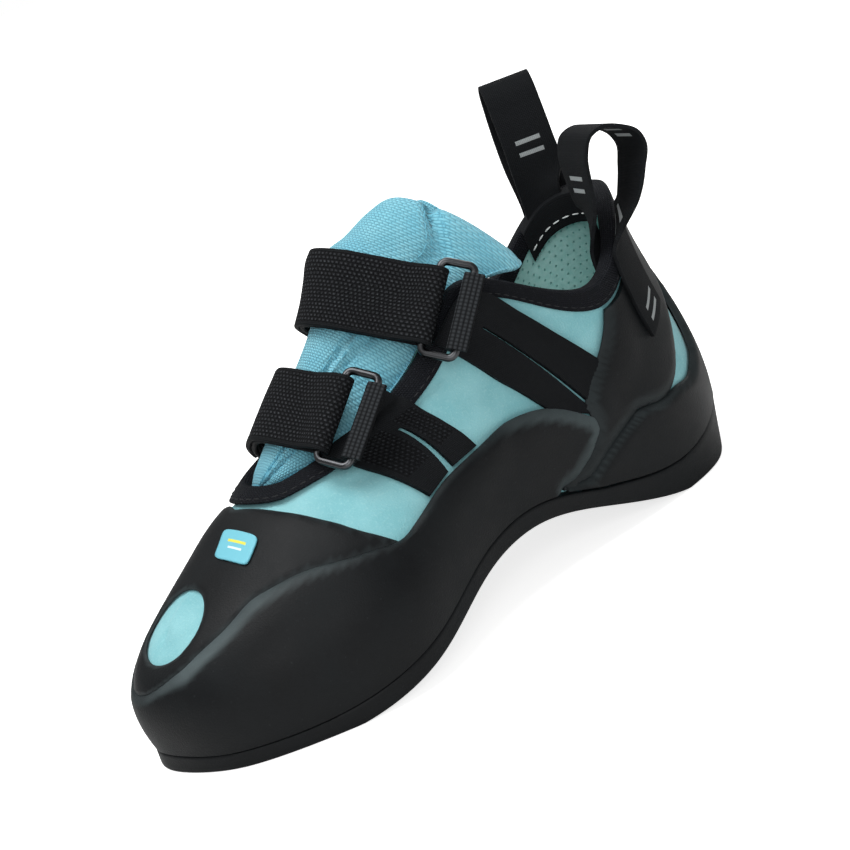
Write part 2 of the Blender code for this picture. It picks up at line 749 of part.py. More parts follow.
def build_ring(which, material, collection):
    """A wire ring bent to a rounded rectangle."""
    middle, along, outer, _ = ring_frame(which)
    bend = RING_BEND_SHARE * RING_WIRE
    curve = bpy.data.curves.new("ring_" + which, "CURVE")
    curve.dimensions = "3D"
    curve.bevel_depth = RING_WIRE / 2
    curve.bevel_resolution = 2
    spline = curve.splines.new("POLY")
    points = []
    for quarter in range(4):
        end = 1 if quarter in (0, 3) else -1
        side = 1 if quarter < 2 else -1
        for step in range(4):
            angle = math.pi / 2 * (quarter + step / 3)
            place = middle + along * (end * (RING_LENGTH / 2 - bend) + bend * math.cos(angle))
            points.append(place + outer * (side * (RING_BREADTH / 2 - bend) + bend * math.sin(angle)))
    spline.points.add(len(points) - 1)
    for point, place in zip(spline.points, points):
        point.co = (*place, 1.0)
    spline.use_cyclic_u = True
    curve.materials.append(material)
    thing = bpy.data.objects.new("ring_" + which, curve)
    collection.objects.link(thing)
    return thing


def solid_tree(things):
    """A search tree of the finished faces of some pieces."""
    graph = bpy.context.evaluated_depsgraph_get()
    verts = []
    faces = []
    for thing in things:
        mesh = thing.evaluated_get(graph).to_mesh()
        base = len(verts)
        verts.extend(vert.co.copy() for vert in mesh.vertices)
        faces.extend([base + index for index in face.vertices] for face in mesh.polygons)
        thing.evaluated_get(graph).to_mesh_clear()
    return BVHTree.FromPolygons(verts, faces)


def taut_section(tree, centre, first, second, turns, start):
    """A tape drawn tight round a section of the foot, as points in the section plane.

    The section is read by rays towards the centre; the tape is the convex hull of
    what they meet, from the start point to the last turn.
    """
    places = [start]
    for turn in turns:
        way = first * math.cos(turn) + second * math.sin(turn)
        hit, _, _, _ = tree.ray_cast(Vector(centre + way * SECTION_REACH), Vector(-way), SECTION_REACH)
        if hit is not None:
            away = np.array(hit) - centre
            places.append((float(away @ first), float(away @ second)))
    hull = [places[0]]
    for place in places[1:]:
        while len(hull) > 1:
            (ax, ay), (bx, by) = hull[-2], hull[-1]
            if (bx - ax) * (place[1] - ay) - (by - ay) * (place[0] - ax) > 0:
                break
            hull.pop()
        hull.append(place)
    return np.array(hull)


def even_points(line, count):
    """Points at even distances along a polyline."""
    line = np.asarray(line)
    steps = np.linalg.norm(np.diff(line, axis=0), axis=1)
    travel = np.concatenate([[0.0], np.cumsum(steps)])
    places = np.linspace(0.0, travel[-1], count)
    return np.stack([np.interp(places, travel, line[:, axis]) for axis in range(line.shape[1])], axis=1)


# How far each strap runs down the inner side, in degrees round the foot from the
# ring: where it is sewn under the rand, and where its free end lies.
STRAP_COLUMNS = ("sewn_end", "free_end")
STRAP_ROWS = {"lower": (206, 176), "upper": (206, 170)}
STRAP_SECTIONS = (0.0, 0.3, 0.6, 0.87, 1.0)
STRAP_DEPTH = 0.45
STRAP_REACH = 0.05
SECTION_REACH = 0.09
SECTION_RAYS = 60
FIRST_RAY = 4
FOLD_END = 118
FOLD_POINTS = 7
UNDER_POINTS = 25
OVER_POINTS = 12
LAYER_CLEARANCE = 4


def strap_section(which, tree, share):
    """Middle line of one strap in one section across it, and its free layer."""
    middle, along, outer, normal = ring_frame(which)
    bar = middle - outer * (RING_BREADTH / 2) + along * (STRAP_WIDTH * (share - 0.5))
    centre = bar - outer * (STRAP_REACH * BALL_WIDTH) - normal * (STRAP_DEPTH * BALL_WIDTH)
    wrap = RING_WIRE / 2 + GAP + STRAP_THICKNESS / 2
    lift = 6 * GAP + STRAP_THICKNESS / 2
    ends = dict(zip(STRAP_COLUMNS, STRAP_ROWS[which]))
    bar_place = np.array([(bar - centre) @ outer, (bar - centre) @ normal])
    slope = 0.0
    for _ in range(3):
        under_bar = np.array([math.sin(slope), math.cos(slope)])
        start = bar_place - (wrap + lift) * under_bar
        low_turn = math.atan2(start[1], start[0]) + math.radians(FIRST_RAY)
        turns = np.linspace(low_turn, math.radians(ends["sewn_end"]), SECTION_RAYS)
        hull = taut_section(tree, centre, outer, normal, turns, tuple(start))
        slope = math.atan2(hull[1][1] - hull[0][1], hull[0][0] - hull[1][0])

    def raised(line, height):
        tangent = np.gradient(line, axis=0)
        tangent = tangent / np.linalg.norm(tangent, axis=1, keepdims=True)
        return line + np.stack([tangent[:, 1], -tangent[:, 0]], axis=1) * height

    under = even_points(hull, UNDER_POINTS)
    under = raised(under, lift)
    over = raised(under, STRAP_THICKNESS + GAP)
    angle = np.arctan2(over[:, 1], over[:, 0]) % (2 * math.pi)
    clear_of_bar = np.linalg.norm(over - bar_place, axis=1) > LAYER_CLEARANCE * wrap
    over = over[(angle < math.radians(ends["free_end"])) & clear_of_bar]
    fold_angles = np.linspace(-math.pi / 2 - slope, math.radians(FOLD_END), FOLD_POINTS)[1:]
    fold_line = bar_place + wrap * np.stack([np.cos(fold_angles), np.sin(fold_angles)], axis=1)
    line = np.concatenate([under[::-1], fold_line, even_points(over, OVER_POINTS)])
    return centre + line[:, :1] * outer + line[:, 1:] * normal


def build_strap(which, under_it, material, collection):
    """A hook-and-loop strap: sewn on the inner side, through the ring and back."""
    tree = solid_tree(under_it)
    sections = [strap_section(which, tree, share) for share in STRAP_SECTIONS]
    count = len(sections[0])
    points = np.concatenate(sections)
    thing = add_object("strap_" + which, points, sheet_faces(len(sections), count), material,
                       collection)
    modifier = solidify(thing, STRAP_THICKNESS, outward=True)
    modifier.offset = 0.0
    return thing


# The webbing anchors: rows run down the outer side from the ring, each with a
# front edge, a slit between two legs and a rear edge, as places v and u. The
# lift is in shares of the way over the binding.
ANCHOR_COLUMNS = ("front_v", "front_u", "slit_v", "slit_u", "rear_v", "rear_u", "lift")
ANCHOR_ROWS = {
    "lower": (
        (.975, .466, .975, .508, .975, .547, 1.80),
        (.880, .466, .880, .515, .870, .548, 1.60),
        (.780, .467, .780, .521, .750, .549, 0.30),
        (.600, .472, .600, .522, .600, .552, 0.00),
        (.470, .477, .470, .520, .470, .556, 0.00),
        (.392, .481, .405, .519, .390, .558, 0.00),
    ),
    "upper": (
        (.970, .607, .970, .648, .960, .686, 1.60),
        (.880, .610, .890, .653, .870, .695, 1.30),
        (.780, .615, .790, .663, .770, .712, 0.20),
        (.660, .621, .690, .680, .680, .735, 0.00),
        (.540, .629, .620, .690, .620, .750, 0.00),
        (.450, .636, .500, .697, .000, .000, 0.00),
        (.370, .650, .410, .702, .000, .000, 0.00),
    ),
}
SLIT_TOP_ROW = 2
SLIT_HALF = 0.004
SEWN_LENGTH = 0.35
ANCHOR_SHARES = (0.0, 0.30, 0.60, 0.64, 0.82, 1.0)
ANCHOR_TURNS = (80, 120, 160, 200, 240, 275)
FRONT_LEG = 3


def build_anchor(which, material, collection):
    """Split webbing that holds the ring to the outer side, looped round its bar."""
    middle, along, outer, normal = ring_frame(which)
    wrap = RING_WIRE / 2 + GAP + WEBBING_THICKNESS / 2
    over_binding = 2 * GAP + BINDING_THICKNESS
    width = RING_LENGTH - 2 * RING_BEND_SHARE * RING_WIRE - 2 * GAP
    columns = len(ANCHOR_SHARES)
    bars = [middle + outer * (RING_BREADTH / 2) + along * (width * (share - 0.5)) for share in ANCHOR_SHARES]
    points = [bar + normal * wrap + outer * (SEWN_LENGTH * RING_BREADTH) for bar in bars]
    for angle in ANCHOR_TURNS:
        turn = math.radians(angle)
        round_bar = wrap * (outer * math.cos(turn) + normal * math.sin(turn))
        points.extend(bar + round_bar for bar in bars)
    faces_top = len(points) // columns
    table = [dict(zip(ANCHOR_COLUMNS, row)) for row in ANCHOR_ROWS[which]]
    for row in table:
        front_leg = ((row["front_u"], row["front_v"]), (row["slit_u"] - SLIT_HALF, row["slit_v"]))
        rear_leg = ((row["slit_u"] + SLIT_HALF, row["slit_v"]), (row["rear_u"], row["rear_v"]))
        height = GAP + WEBBING_THICKNESS / 2 + row["lift"] * over_binding
        for index in range(columns):
            near, far = front_leg if index < FRONT_LEG else rear_leg
            part = (index % FRONT_LEG) / (FRONT_LEG - 1)
            u = near[0] + (far[0] - near[0]) * part
            v = near[1] + (far[1] - near[1]) * part
            points.append(last_offset(u, v, height))
    rows = faces_top + len(table)

    def keep(row, index):
        down = row - faces_top
        if down >= SLIT_TOP_ROW and index == FRONT_LEG - 1:
            return False
        gone = down >= 0 and index >= FRONT_LEG and table[down + 1]["rear_v"] == 0
        return not gone

    thing = add_object("anchor_" + which, points, sheet_faces(rows, columns, keep), material,
                       collection)
    modifier = solidify(thing, WEBBING_THICKNESS, outward=True)
    modifier.offset = 0.0
    return thing


# The pull loops: place of the base round the collar, width direction, and the
# loop's free points as steps out of the collar (shares of COLLAR_WIDTH) and
# heights (shares of HEEL_HEIGHT).
LOOP_COLUMNS = ("out", "height")
LOOP_ROWS = {
    "outer": (
        (-.080, 1.00), (-.075, 1.09), (-.060, 1.17), (-.010, 1.225), (.070, 1.240), (.160, 1.225),
        (.250, 1.190), (.275, 1.150), (.240, 1.080), (.170, 0.990),
    ),
    "inner": (
        (-.080, 1.10), (-.070, 1.20), (-.030, 1.30), (.020, 1.375), (.070, 1.400), (.120, 1.380),
        (.160, 1.300), (.170, 1.200), (.130, 1.100),
    ),
}
LOOP_BASES = {"outer": 0.865, "inner": -0.925}
LOOP_COLUMNS_ACROSS = 5
SEATED_INSIDE = (0.80, 0.90, 1.00)
SEATED_OUTSIDE = (1.00, 0.90, 0.78, 0.66)
LOOP_WIDTH_WAY = {"outer": (-.75, .66), "inner": (.50, .86)}


def build_loop(which, material, collection):
    """A pull loop of webbing that straddles the collar's edge."""
    base_u = LOOP_BASES[which]
    way = np.array([*LOOP_WIDTH_WAY[which], 0.0])
    way = way / np.linalg.norm(way)
    if base_u < 0:
        out = np.array([-way[1], way[0], 0.0])
    else:
        out = np.array([way[1], -way[0], 0.0])
    across = np.linspace(-0.5, 0.5, LOOP_COLUMNS_ACROSS)
    edge = last_point(base_u, 1.0)
    half_thickness = LOOP_THICKNESS / 2
    inside = -(WALL + 5 * GAP + BINDING_THICKNESS + half_thickness)
    outside = BAND_THICKNESS + 2 * GAP + half_thickness
    tangent = last_point(base_u + STEP, 1.0) - last_point(base_u - STEP, 1.0)
    per_u = np.linalg.norm(tangent) / (2 * STEP)
    sign = 1.0 if float(tangent @ way) > 0 else -1.0

    def seated(v, offset):
        return [last_offset(base_u + sign * share * LOOP_WIDTH / per_u, v, offset) for share in across]

    above = np.array([0.0, 0.0, 3 * BINDING_THICKNESS])
    rows = [seated(v, inside) for v in SEATED_INSIDE]
    rows.append([point + above for point in rows[-1]])
    steps = column(LOOP_ROWS[which], LOOP_COLUMNS, "out", COLLAR_WIDTH)
    heights = column(LOOP_ROWS[which], LOOP_COLUMNS, "height", HEEL_HEIGHT)
    for step, height in zip(steps, heights):
        middle = edge + out * step
        middle[2] = height
        rows.append([middle + way * (share * LOOP_WIDTH) for share in across])
    rows.append([point + above for point in seated(1.0, outside)])
    rows += [seated(v, outside) for v in SEATED_OUTSIDE]
    points = np.concatenate([np.array(row) for row in rows])
    thing = add_object("pull_loop_" + which, points, sheet_faces(len(rows), len(across)), material,
                       collection)
    modifier = solidify(thing, LOOP_THICKNESS, outward=True)
    modifier.offset = 0.0
    return thing


def build_toe_patch(material, collection):
    """The small cloth patch on the toe cap."""
    rear_inner, rear_outer, front_outer, front_inner = np.array(PATCH_CORNERS)
    points = []
    for across in np.linspace(0, 1, PATCH_POINTS):
        for down in np.linspace(0, 1, PATCH_POINTS):
            rear = rear_inner + (rear_outer - rear_inner) * across
            front = front_inner + (front_outer - front_inner) * across
            u, v = rear + (front - rear) * down
            points.append(last_offset(u, v, 2 * GAP + CAP_THICKNESS))
    thing = add_object("toe_patch", points, sheet_faces(PATCH_POINTS, PATCH_POINTS), material,
                       collection)
    solidify(thing, PATCH_THICKNESS, outward=True)
    return thing


def main():
    clear_scene()
    collection = bpy.data.collections.new("climbing_shoe")
    bpy.context.scene.collection.children.link(collection)
    suede = make_material("suede", (0.26, 0.60, 0.64), 0.85)
    rubber = make_material("rubber", (0.012, 0.014, 0.016), 0.55)
    board = make_material("insole_board", (0.25, 0.25, 0.25), 0.9)
    air_mesh = make_material("air_mesh", (0.22, 0.58, 0.72), 0.85)
    webbing = make_material("webbing", (0.02, 0.02, 0.024), 0.8)
    steel = make_material("dark_steel", (0.10, 0.10, 0.11), 0.3, 1.0)
    build_outsole(rubber, collection)
    build_insole(board, collection)
    upper = build_upper(suede, collection)
    tongue = build_tongue(air_mesh, collection)
    build_side_rand(rubber, collection)
    build_toe_cap(rubber, collection)
    build_heel_band(rubber, collection)
    build_heel_cup(rubber, collection)
    build_toe_patch(suede, collection)
    throat = lattice_between(.42, .69)
    binding_outer = build_binding("throat_binding_outer", throat, webbing, collection)
    binding_inner = build_binding("throat_binding_inner", -throat[::-1], webbing, collection)
    binding_collar = build_binding("collar_binding", lattice_between(.70, 1.30), webbing, collection)
    under_straps = [upper, tongue, binding_outer, binding_inner, binding_collar]
    for which in RING_ROWS:
        build_ring(which, steel, collection)
        build_strap(which, under_straps, webbing, collection)
        build_anchor(which, webbing, collection)
    for which in LOOP_ROWS:
        build_loop(which, webbing, collection)


main()
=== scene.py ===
# %% [markdown]
# # A climbing shoe around its fixed frame
#
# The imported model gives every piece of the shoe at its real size. This script
# dresses it: suede, rubber, webbing, mesh and thread, each at its real scale.
# The toe points to -Y, the outer side of the foot is +X and the floor is Z = 0.

# %% Load the frame
import math
import bpy
import bmesh
import numpy as np
from mathutils import Vector, Matrix
from mathutils.bvhtree import BVHTree
from mathutils.kdtree import KDTree


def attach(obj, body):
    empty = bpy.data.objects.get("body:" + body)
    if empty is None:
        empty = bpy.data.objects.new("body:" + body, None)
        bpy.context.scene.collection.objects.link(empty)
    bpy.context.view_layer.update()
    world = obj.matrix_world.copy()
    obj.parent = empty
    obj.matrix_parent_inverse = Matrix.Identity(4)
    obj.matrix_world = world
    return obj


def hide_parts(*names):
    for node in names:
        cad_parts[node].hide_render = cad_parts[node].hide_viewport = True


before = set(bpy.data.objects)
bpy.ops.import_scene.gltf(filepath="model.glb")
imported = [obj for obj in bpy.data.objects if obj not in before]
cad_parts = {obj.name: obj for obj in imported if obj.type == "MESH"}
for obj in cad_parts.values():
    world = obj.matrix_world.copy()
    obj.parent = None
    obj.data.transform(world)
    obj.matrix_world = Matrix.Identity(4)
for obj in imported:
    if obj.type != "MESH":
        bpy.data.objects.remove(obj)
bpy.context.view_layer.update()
print("pieces in the frame:", len(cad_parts))

# %% [markdown]
# The camera first. It stands to the outer side of the toe, looks slightly down
# and is rolled, so that the toe lies low in the picture. A long lens keeps the
# shoe's proportions honest.

# %% Camera
AIM = Vector((0.0, -0.085, 0.040))
AZIMUTH, ELEVATION, ROLL = math.radians(55), math.radians(18), math.radians(-20)
DISTANCE = 0.70
FOCAL_PIXELS, FRAME_PIXELS, SENSOR = 2275, 850, 36.0
CENTRE_PIXEL = (430, 480)

back = Vector((math.sin(AZIMUTH) * math.cos(ELEVATION), -math.cos(AZIMUTH) * math.cos(ELEVATION),
               math.sin(ELEVATION)))
level = Vector((math.cos(AZIMUTH), math.sin(AZIMUTH), 0.0))
upright = back.cross(level)
right = level * math.cos(ROLL) + upright * math.sin(ROLL)
above = upright * math.cos(ROLL) - level * math.sin(ROLL)
lens = bpy.data.cameras.new("camera")
lens.sensor_width = SENSOR
lens.lens = FOCAL_PIXELS / FRAME_PIXELS * SENSOR
lens.shift_x = (FRAME_PIXELS / 2 - CENTRE_PIXEL[0]) / FRAME_PIXELS
lens.shift_y = (CENTRE_PIXEL[1] - FRAME_PIXELS / 2) / FRAME_PIXELS
camera = bpy.data.objects.new("camera", lens)
camera.matrix_world = Matrix((right, above, back)).transposed().to_4x4()
camera.location = AIM + back * DISTANCE
bpy.context.scene.collection.objects.link(camera)
bpy.context.scene.camera = camera
print("lens", round(lens.lens, 1), "mm")

# %% [markdown]
# Every face of the upper comes from one function. `u` runs round the foot line
# from the toe tip (0) along the outer side (+) or the inner side (-) to the back
# of the heel (1 and -1), and `v` runs up the wall from the foot line (0) to the
# ridge or the top line (1). The part's own source uses the same tables, so a
# panel, a seam or a crease that is placed in u and v lies on the real solid.

# %% Sizes in metres
LENGTH = 0.2205
BALL_WIDTH = 0.077
INSTEP_HEIGHT = 0.095
HEEL_HEIGHT = 0.098
COLLAR_WIDTH = 0.054
THROAT_WIDTH = 0.030
ARCH_LIFT = 0.0215
FLOOR_LAND = 0.0020
WALL = 0.0020
SOLE_THICKNESS = 0.0045
SOLE_CHAMFER = 0.0010
RAND_THICKNESS = 0.0022
CAP_THICKNESS = 0.0010
BAND_THICKNESS = 0.0018
CUP_THICKNESS = 0.0024
BINDING_THICKNESS = 0.0009
BINDING_DEPTH = 0.0062
WEBBING_THICKNESS = 0.0015
TONGUE_THICKNESS = 0.0055
TAB_THICKNESS = 0.0006
GAP = 0.00035
RING_WIRE = 0.0024
RING_LENGTH = 0.0285
RING_BREADTH = 0.0105
RING_BEND_SHARE = 0.9
STRAP_THICKNESS = 0.0016
STRAP_WIDTH = 0.0238
LOOP_WIDTH = 0.0170
LOOP_THICKNESS = 0.0012
THROAT_START = 0.4
STEP = 0.001
WELD = 0.00002
print("length over the suede, mm:", LENGTH * 1000)

# %% [markdown]
# The last is the foot-shaped block that a shoe is pulled over. It is read from
# one table with a row for each station from toe to heel, and one for the width
# of the opening. Smooth curves run through the rows, so a few numbers are enough
# and each has a meaning that a shoemaker would know.

# %% The last's tables
LAST_COLUMNS = ("foot_y", "outer", "inner", "lift", "bulge_out", "bulge_in", "rise", "crown",
                "drop", "top_y", "axis", "instep", "heel")
LAST_ROWS = (
    (-.880, -.18, -.18, .09, .08, .08, .70, .60, .00, -.812, -.220, .389, .000),
    (-.862, +.03, -.32, .06, .08, .08, .70, .60, .00, -.803, -.220, .410, .000),
    (-.816, +.20, -.40, .05, .09, .09, .72, .60, .00, -.766, -.210, .463, .000),
    (-.717, +.38, -.49, .09, .09, .08, .72, .58, .00, -.707, -.195, .547, .000),
    (-.594, +.48, -.52, .40, .09, .06, .68, .55, .03, -.639, -.180, .632, .000),
    (-.458, +.39, -.44, .86, .10, .08, .58, .45, .10, -.508, -.100, .716, .000),
    (-.317, +.34, -.34, 1.0, .09, .08, .50, .35, .20, -.372, -.045, .874, .000),
    (-.172, +.34, -.31, .53, .08, .08, .42, .25, .30, -.272, -.035, 1.00, .000),
    (-.036, +.32, -.31, .09, .08, .08, .35, .10, .40, -.109, .000, .000, .776),
    (+.063, +.23, -.23, .09, .09, .09, .35, .10, .40, +.009, .000, .000, .949),
    (+.118, +.00, -.00, .16, .13, .13, .35, .10, .35, +.063, .000, .000, 1.00),
)
OPENING_COLUMNS = ("along", "throat", "collar")
OPENING_ROWS = (
    (0.40, 0.00, 0.00),
    (0.43, 0.32, 0.00),
    (0.46, 0.46, 0.00),
    (0.50, 0.55, 0.00),
    (0.60, 0.67, 0.00),
    (0.70, 0.79, 0.00),
    (0.75, 0.00, 0.46),
    (0.80, 0.00, 0.50),
    (0.85, 0.00, 0.47),
    (0.90, 0.00, 0.35),
    (0.95, 0.00, 0.18),
    (1.00, 0.00, 0.00),
)


def column(rows, names, name, scale=1.0):
    """One named column of a table, as an array of real lengths."""
    index = names.index(name)
    return np.array([row[index] for row in rows]) * scale


def smooth_curve(places, knots, values):
    """A smooth curve through a table's rows, flat beyond its ends."""
    knots = np.asarray(knots, float)
    values = np.asarray(values, float)
    slopes = np.gradient(values, knots, axis=0)
    places = np.clip(places, knots[0], knots[-1])
    low = np.clip(np.searchsorted(knots, places, side="right") - 1, 0, len(knots) - 2)
    span = knots[low + 1] - knots[low]
    t = (places - knots[low]) / span
    if values.ndim > 1:
        t = t[..., None]
        span = span[..., None]
    start = values[low] * (2 * t ** 3 - 3 * t ** 2 + 1) + slopes[low] * span * (t ** 3 - 2 * t ** 2 + t)
    end = values[low + 1] * (3 * t ** 2 - 2 * t ** 3) + slopes[low + 1] * span * (t ** 3 - t ** 2)
    return start + end


def ring_of_rows():
    """The last's rows in one closed ring: toe, outer side, heel, inner side."""
    scales = {"foot_y": LENGTH, "top_y": LENGTH, "lift": ARCH_LIFT, "instep": INSTEP_HEIGHT,
              "heel": HEEL_HEIGHT, "rise": 1.0, "crown": 1.0, "drop": 1.0}
    names = ("foot_y", "{side}", "lift", "bulge_{way}", "rise", "crown", "drop", "top_y", "axis",
             "instep", "heel")

    def half(side, way):
        keys = [name.format(side=side, way=way) for name in names]
        return np.stack([column(LAST_ROWS, LAST_COLUMNS, key, scales.get(key, BALL_WIDTH))
                         for key in keys], axis=1)

    ring = np.concatenate([half("outer", "out"), half("inner", "in")[-2:0:-1]])
    return np.column_stack([ring[:, :9], ring[:, 9] + ring[:, 10]])


def closed_spline(values):
    """Second derivatives of a smooth closed curve through equally spaced values."""
    count = len(values)
    matrix = 4 * np.eye(count) + np.roll(np.eye(count), 1, axis=0) + np.roll(np.eye(count), -1, axis=0)
    bend = np.roll(values, -1, axis=0) - 2 * values + np.roll(values, 1, axis=0)
    return np.linalg.solve(matrix, 6 * bend)


RING = ring_of_rows()
RING_BEND = closed_spline(RING)
print("rows round the last:", len(RING))

# %% [markdown]
# The surface itself. The wall is a cubic curve from the foot line up to the top
# line, swept round the foot. It could be sculpted, but a function lets every
# later piece be put at a true distance from the wall, without touching it.

# %% The last's surface
TIP_END = 0.12
SLOPE_FADE = 0.05
RIDGE_V = 0.99
TOP_V = 0.985


def fold(u):
    """u counted from -1 to 1."""
    return (u + 1.0) % 2.0 - 1.0


def ring_at(u):
    """Interpolated columns of the ring at u, where u counts modulo 2."""
    count = len(RING)
    place = np.mod(np.asarray(u, float), 2.0) * (count / 2)
    low = np.floor(place).astype(int) % count
    high = (low + 1) % count
    part = (place - np.floor(place))[..., None]
    rest = 1.0 - part
    bend = (rest ** 3 - rest) * RING_BEND[low] + (part ** 3 - part) * RING_BEND[high]
    return rest * RING[low] + part * RING[high] + bend / 6


def opening_half_width(along):
    """Half width of throat and collar at a share of the way from toe to heel."""
    half = (column(OPENING_ROWS, OPENING_COLUMNS, "throat", THROAT_WIDTH)
            + column(OPENING_ROWS, OPENING_COLUMNS, "collar", COLLAR_WIDTH))
    return smooth_curve(along, column(OPENING_ROWS, OPENING_COLUMNS, "along"), half)


def top_line(along):
    """Middle of the top line at a share of the way from toe to heel: y, x, z."""
    both = (ring_at(along) + ring_at(-along)) / 2
    return both[..., 7], both[..., 8], both[..., 9]


def foot_outward(u):
    """Unit vectors that point out of the foot line in the floor plane."""
    ahead = ring_at(u + STEP)
    behind = ring_at(u - STEP)
    along_y = ahead[..., 0] - behind[..., 0]
    along_x = ahead[..., 1] - behind[..., 1]
    size = np.hypot(along_x, along_y)
    return np.stack([along_y / size, -along_x / size], axis=-1)


def last_point(u, v):
    """A point of the last's outside: a cubic from the foot line to the top line."""
    u, v = np.broadcast_arrays(np.asarray(u, float), np.asarray(v, float))
    u = fold(u)
    row = ring_at(u)
    along = np.abs(u)
    top_y, axis, top_z = top_line(along)
    near = np.maximum(along, TIP_END)
    y_ahead, _, z_ahead = top_line(near + STEP)
    y_behind, _, z_behind = top_line(near - STEP)
    slope = (z_ahead - z_behind) / np.maximum(y_ahead - y_behind, WELD)
    slope = slope * np.clip((THROAT_START + SLOPE_FADE - along) / SLOPE_FADE, 0, 1)
    side = np.where(u >= 0, 1.0, -1.0)
    top = np.stack([axis + side * opening_half_width(along), top_y, top_z], axis=-1)
    foot = np.stack([row[..., 1], row[..., 0], row[..., 2] + SOLE_THICKNESS + GAP], axis=-1)
    height = top[..., 2] - foot[..., 2]
    inward = top[..., :2] - foot[..., :2]
    lower_xy = foot[..., :2] + foot_outward(u) * row[..., 3][..., None]
    lower_z = foot[..., 2] + row[..., 4] * height
    lower = np.concatenate([lower_xy, lower_z[..., None]], axis=-1)
    setback = inward * row[..., 5][..., None]
    upper_z = foot[..., 2] + (1 - row[..., 6]) * height - slope * setback[..., 1]
    upper = np.concatenate([top[..., :2] - setback, upper_z[..., None]], axis=-1)
    t = v[..., None]
    rest = 1.0 - t
    return rest ** 3 * foot + 3 * rest ** 2 * t * lower + 3 * rest * t ** 2 * upper + t ** 3 * top


def last_normal(u, v, mirrored=True):
    """Unit normals of the last, pointing out; on the ridge both sides share one."""
    u, v = np.broadcast_arrays(np.asarray(u, float), np.asarray(v, float))
    low = np.clip(v - STEP / 2, 0, TOP_V)
    high = np.clip(v + STEP / 2, STEP, TOP_V + STEP)
    middle = (low + high) / 2
    across = last_point(u + STEP / 2, middle) - last_point(u - STEP / 2, middle)
    normal = np.cross(across, last_point(u, high) - last_point(u, low))
    normal = normal / np.linalg.norm(normal, axis=-1, keepdims=True)
    if mirrored:
        ridge = (v > RIDGE_V) & (np.abs(fold(u)) <= THROAT_START)
        normal = np.where(ridge[..., None], normal + last_normal(-u, v, mirrored=False), normal)
        normal = normal / np.linalg.norm(normal, axis=-1, keepdims=True)
    return normal


def last_offset(u, v, distance):
    """A point at a distance outside the last."""
    distance = np.asarray(distance, float)
    return last_point(u, v) + last_normal(u, v) * distance[..., None]


print("throat edge at the front, mm:", np.round(last_point(0.45, 1.0) * 1000, 1))

# %% [markdown]
# Materials. Each is a short node tree, built from a few small helpers, since
# trees that are laid out by hand soon repeat themselves. Patterns are given in
# real lengths, and colours as the hex codes one would read off a swatch.

# %% Material helpers
def colour(code):
    """A hex code's linear colour."""
    channels = [int(code[place:place + 2], 16) / 255 for place in (1, 3, 5)]
    return (*[c / 12.92 if c <= 0.04045 else ((c + 0.055) / 1.055) ** 2.4 for c in channels], 1.0)


def add_node(tree, kind, settings, inputs):
    """Adds a node, applies its settings, and links or fills its inputs."""
    node = tree.nodes.new(kind)
    for name, value in settings.items():
        setattr(node, name, value)
    for name, value in inputs.items():
        if isinstance(value, bpy.types.NodeSocket):
            tree.links.new(value, node.inputs[name])
        else:
            node.inputs[name].default_value = value
    return node


def calc(tree, operation, *values):
    """The result of one arithmetic node."""
    return add_node(tree, "ShaderNodeMath", {"operation": operation}, dict(enumerate(values))).outputs[0]


def noise(tree, coords, size, detail=2.0):
    """Noise whose blotches are about one size across, in metres."""
    return add_node(tree, "ShaderNodeTexNoise", {},
                    {"Vector": coords, "Scale": 1.0 / size, "Detail": detail}).outputs["Fac"]


def blend(tree, share, first, second):
    """Mixes two colours by a share from 0 to 1."""
    node = add_node(tree, "ShaderNodeMix", {"data_type": "RGBA"}, {"Factor": share})
    for socket, value in ((node.inputs[6], first), (node.inputs[7], second)):
        if isinstance(value, bpy.types.NodeSocket):
            tree.links.new(value, socket)
        else:
            socket.default_value = value
    return node.outputs[2]


def bump(tree, height, depth):
    """A normal bumped by a height from 0 to 1, as deep as a length in metres."""
    return add_node(tree, "ShaderNodeBump", {}, {"Strength": 1.0, "Distance": depth,
                                                 "Height": height}).outputs["Normal"]


def clamp_range(tree, value, low, high):
    """Stretches the part of a value between low and high over 0 to 1."""
    return add_node(tree, "ShaderNodeMapRange", {"clamp": True},
                    {"Value": value, "From Min": low, "From Max": high}).outputs["Result"]


def start_material(name, roughness, metallic=0.0, ior=1.5):
    """A new Principled material, its node tree and its shader."""
    material = bpy.data.materials.new(name)
    material.use_nodes = True
    shader = material.node_tree.nodes["Principled BSDF"]
    shader.inputs["Roughness"].default_value = roughness
    shader.inputs["Metallic"].default_value = metallic
    shader.inputs["IOR"].default_value = ior
    return material, material.node_tree, shader


def finish_material(tree, shader, base, normal=None, roughness=None):
    """Links the finished colour, normal and roughness."""
    tree.links.new(base, shader.inputs["Base Color"])
    if normal is not None:
        tree.links.new(normal, shader.inputs["Normal"])
    if roughness is not None:
        tree.links.new(roughness, shader.inputs["Roughness"])


def object_coords(tree):
    """Places in metres, in the shoe's own frame."""
    return tree.nodes.new("ShaderNodeTexCoord").outputs["Object"]


def tape_coords(tree):
    """Lengths in metres along and across a tape, from its UV map."""
    coords = tree.nodes.new("ShaderNodeTexCoord").outputs["UV"]
    parts = add_node(tree, "ShaderNodeSeparateXYZ", {}, {0: coords})
    return parts.outputs[0], parts.outputs[1]


def wave(tree, length, pitch):
    """A row of rounded ridges, one for each pitch: 0 between them, 1 on top."""
    turn = calc(tree, "MULTIPLY", length, math.pi / pitch)
    return calc(tree, "ABSOLUTE", calc(tree, "SINE", turn))


print("red of a middle grey swatch:", round(colour("#808080")[0], 3))

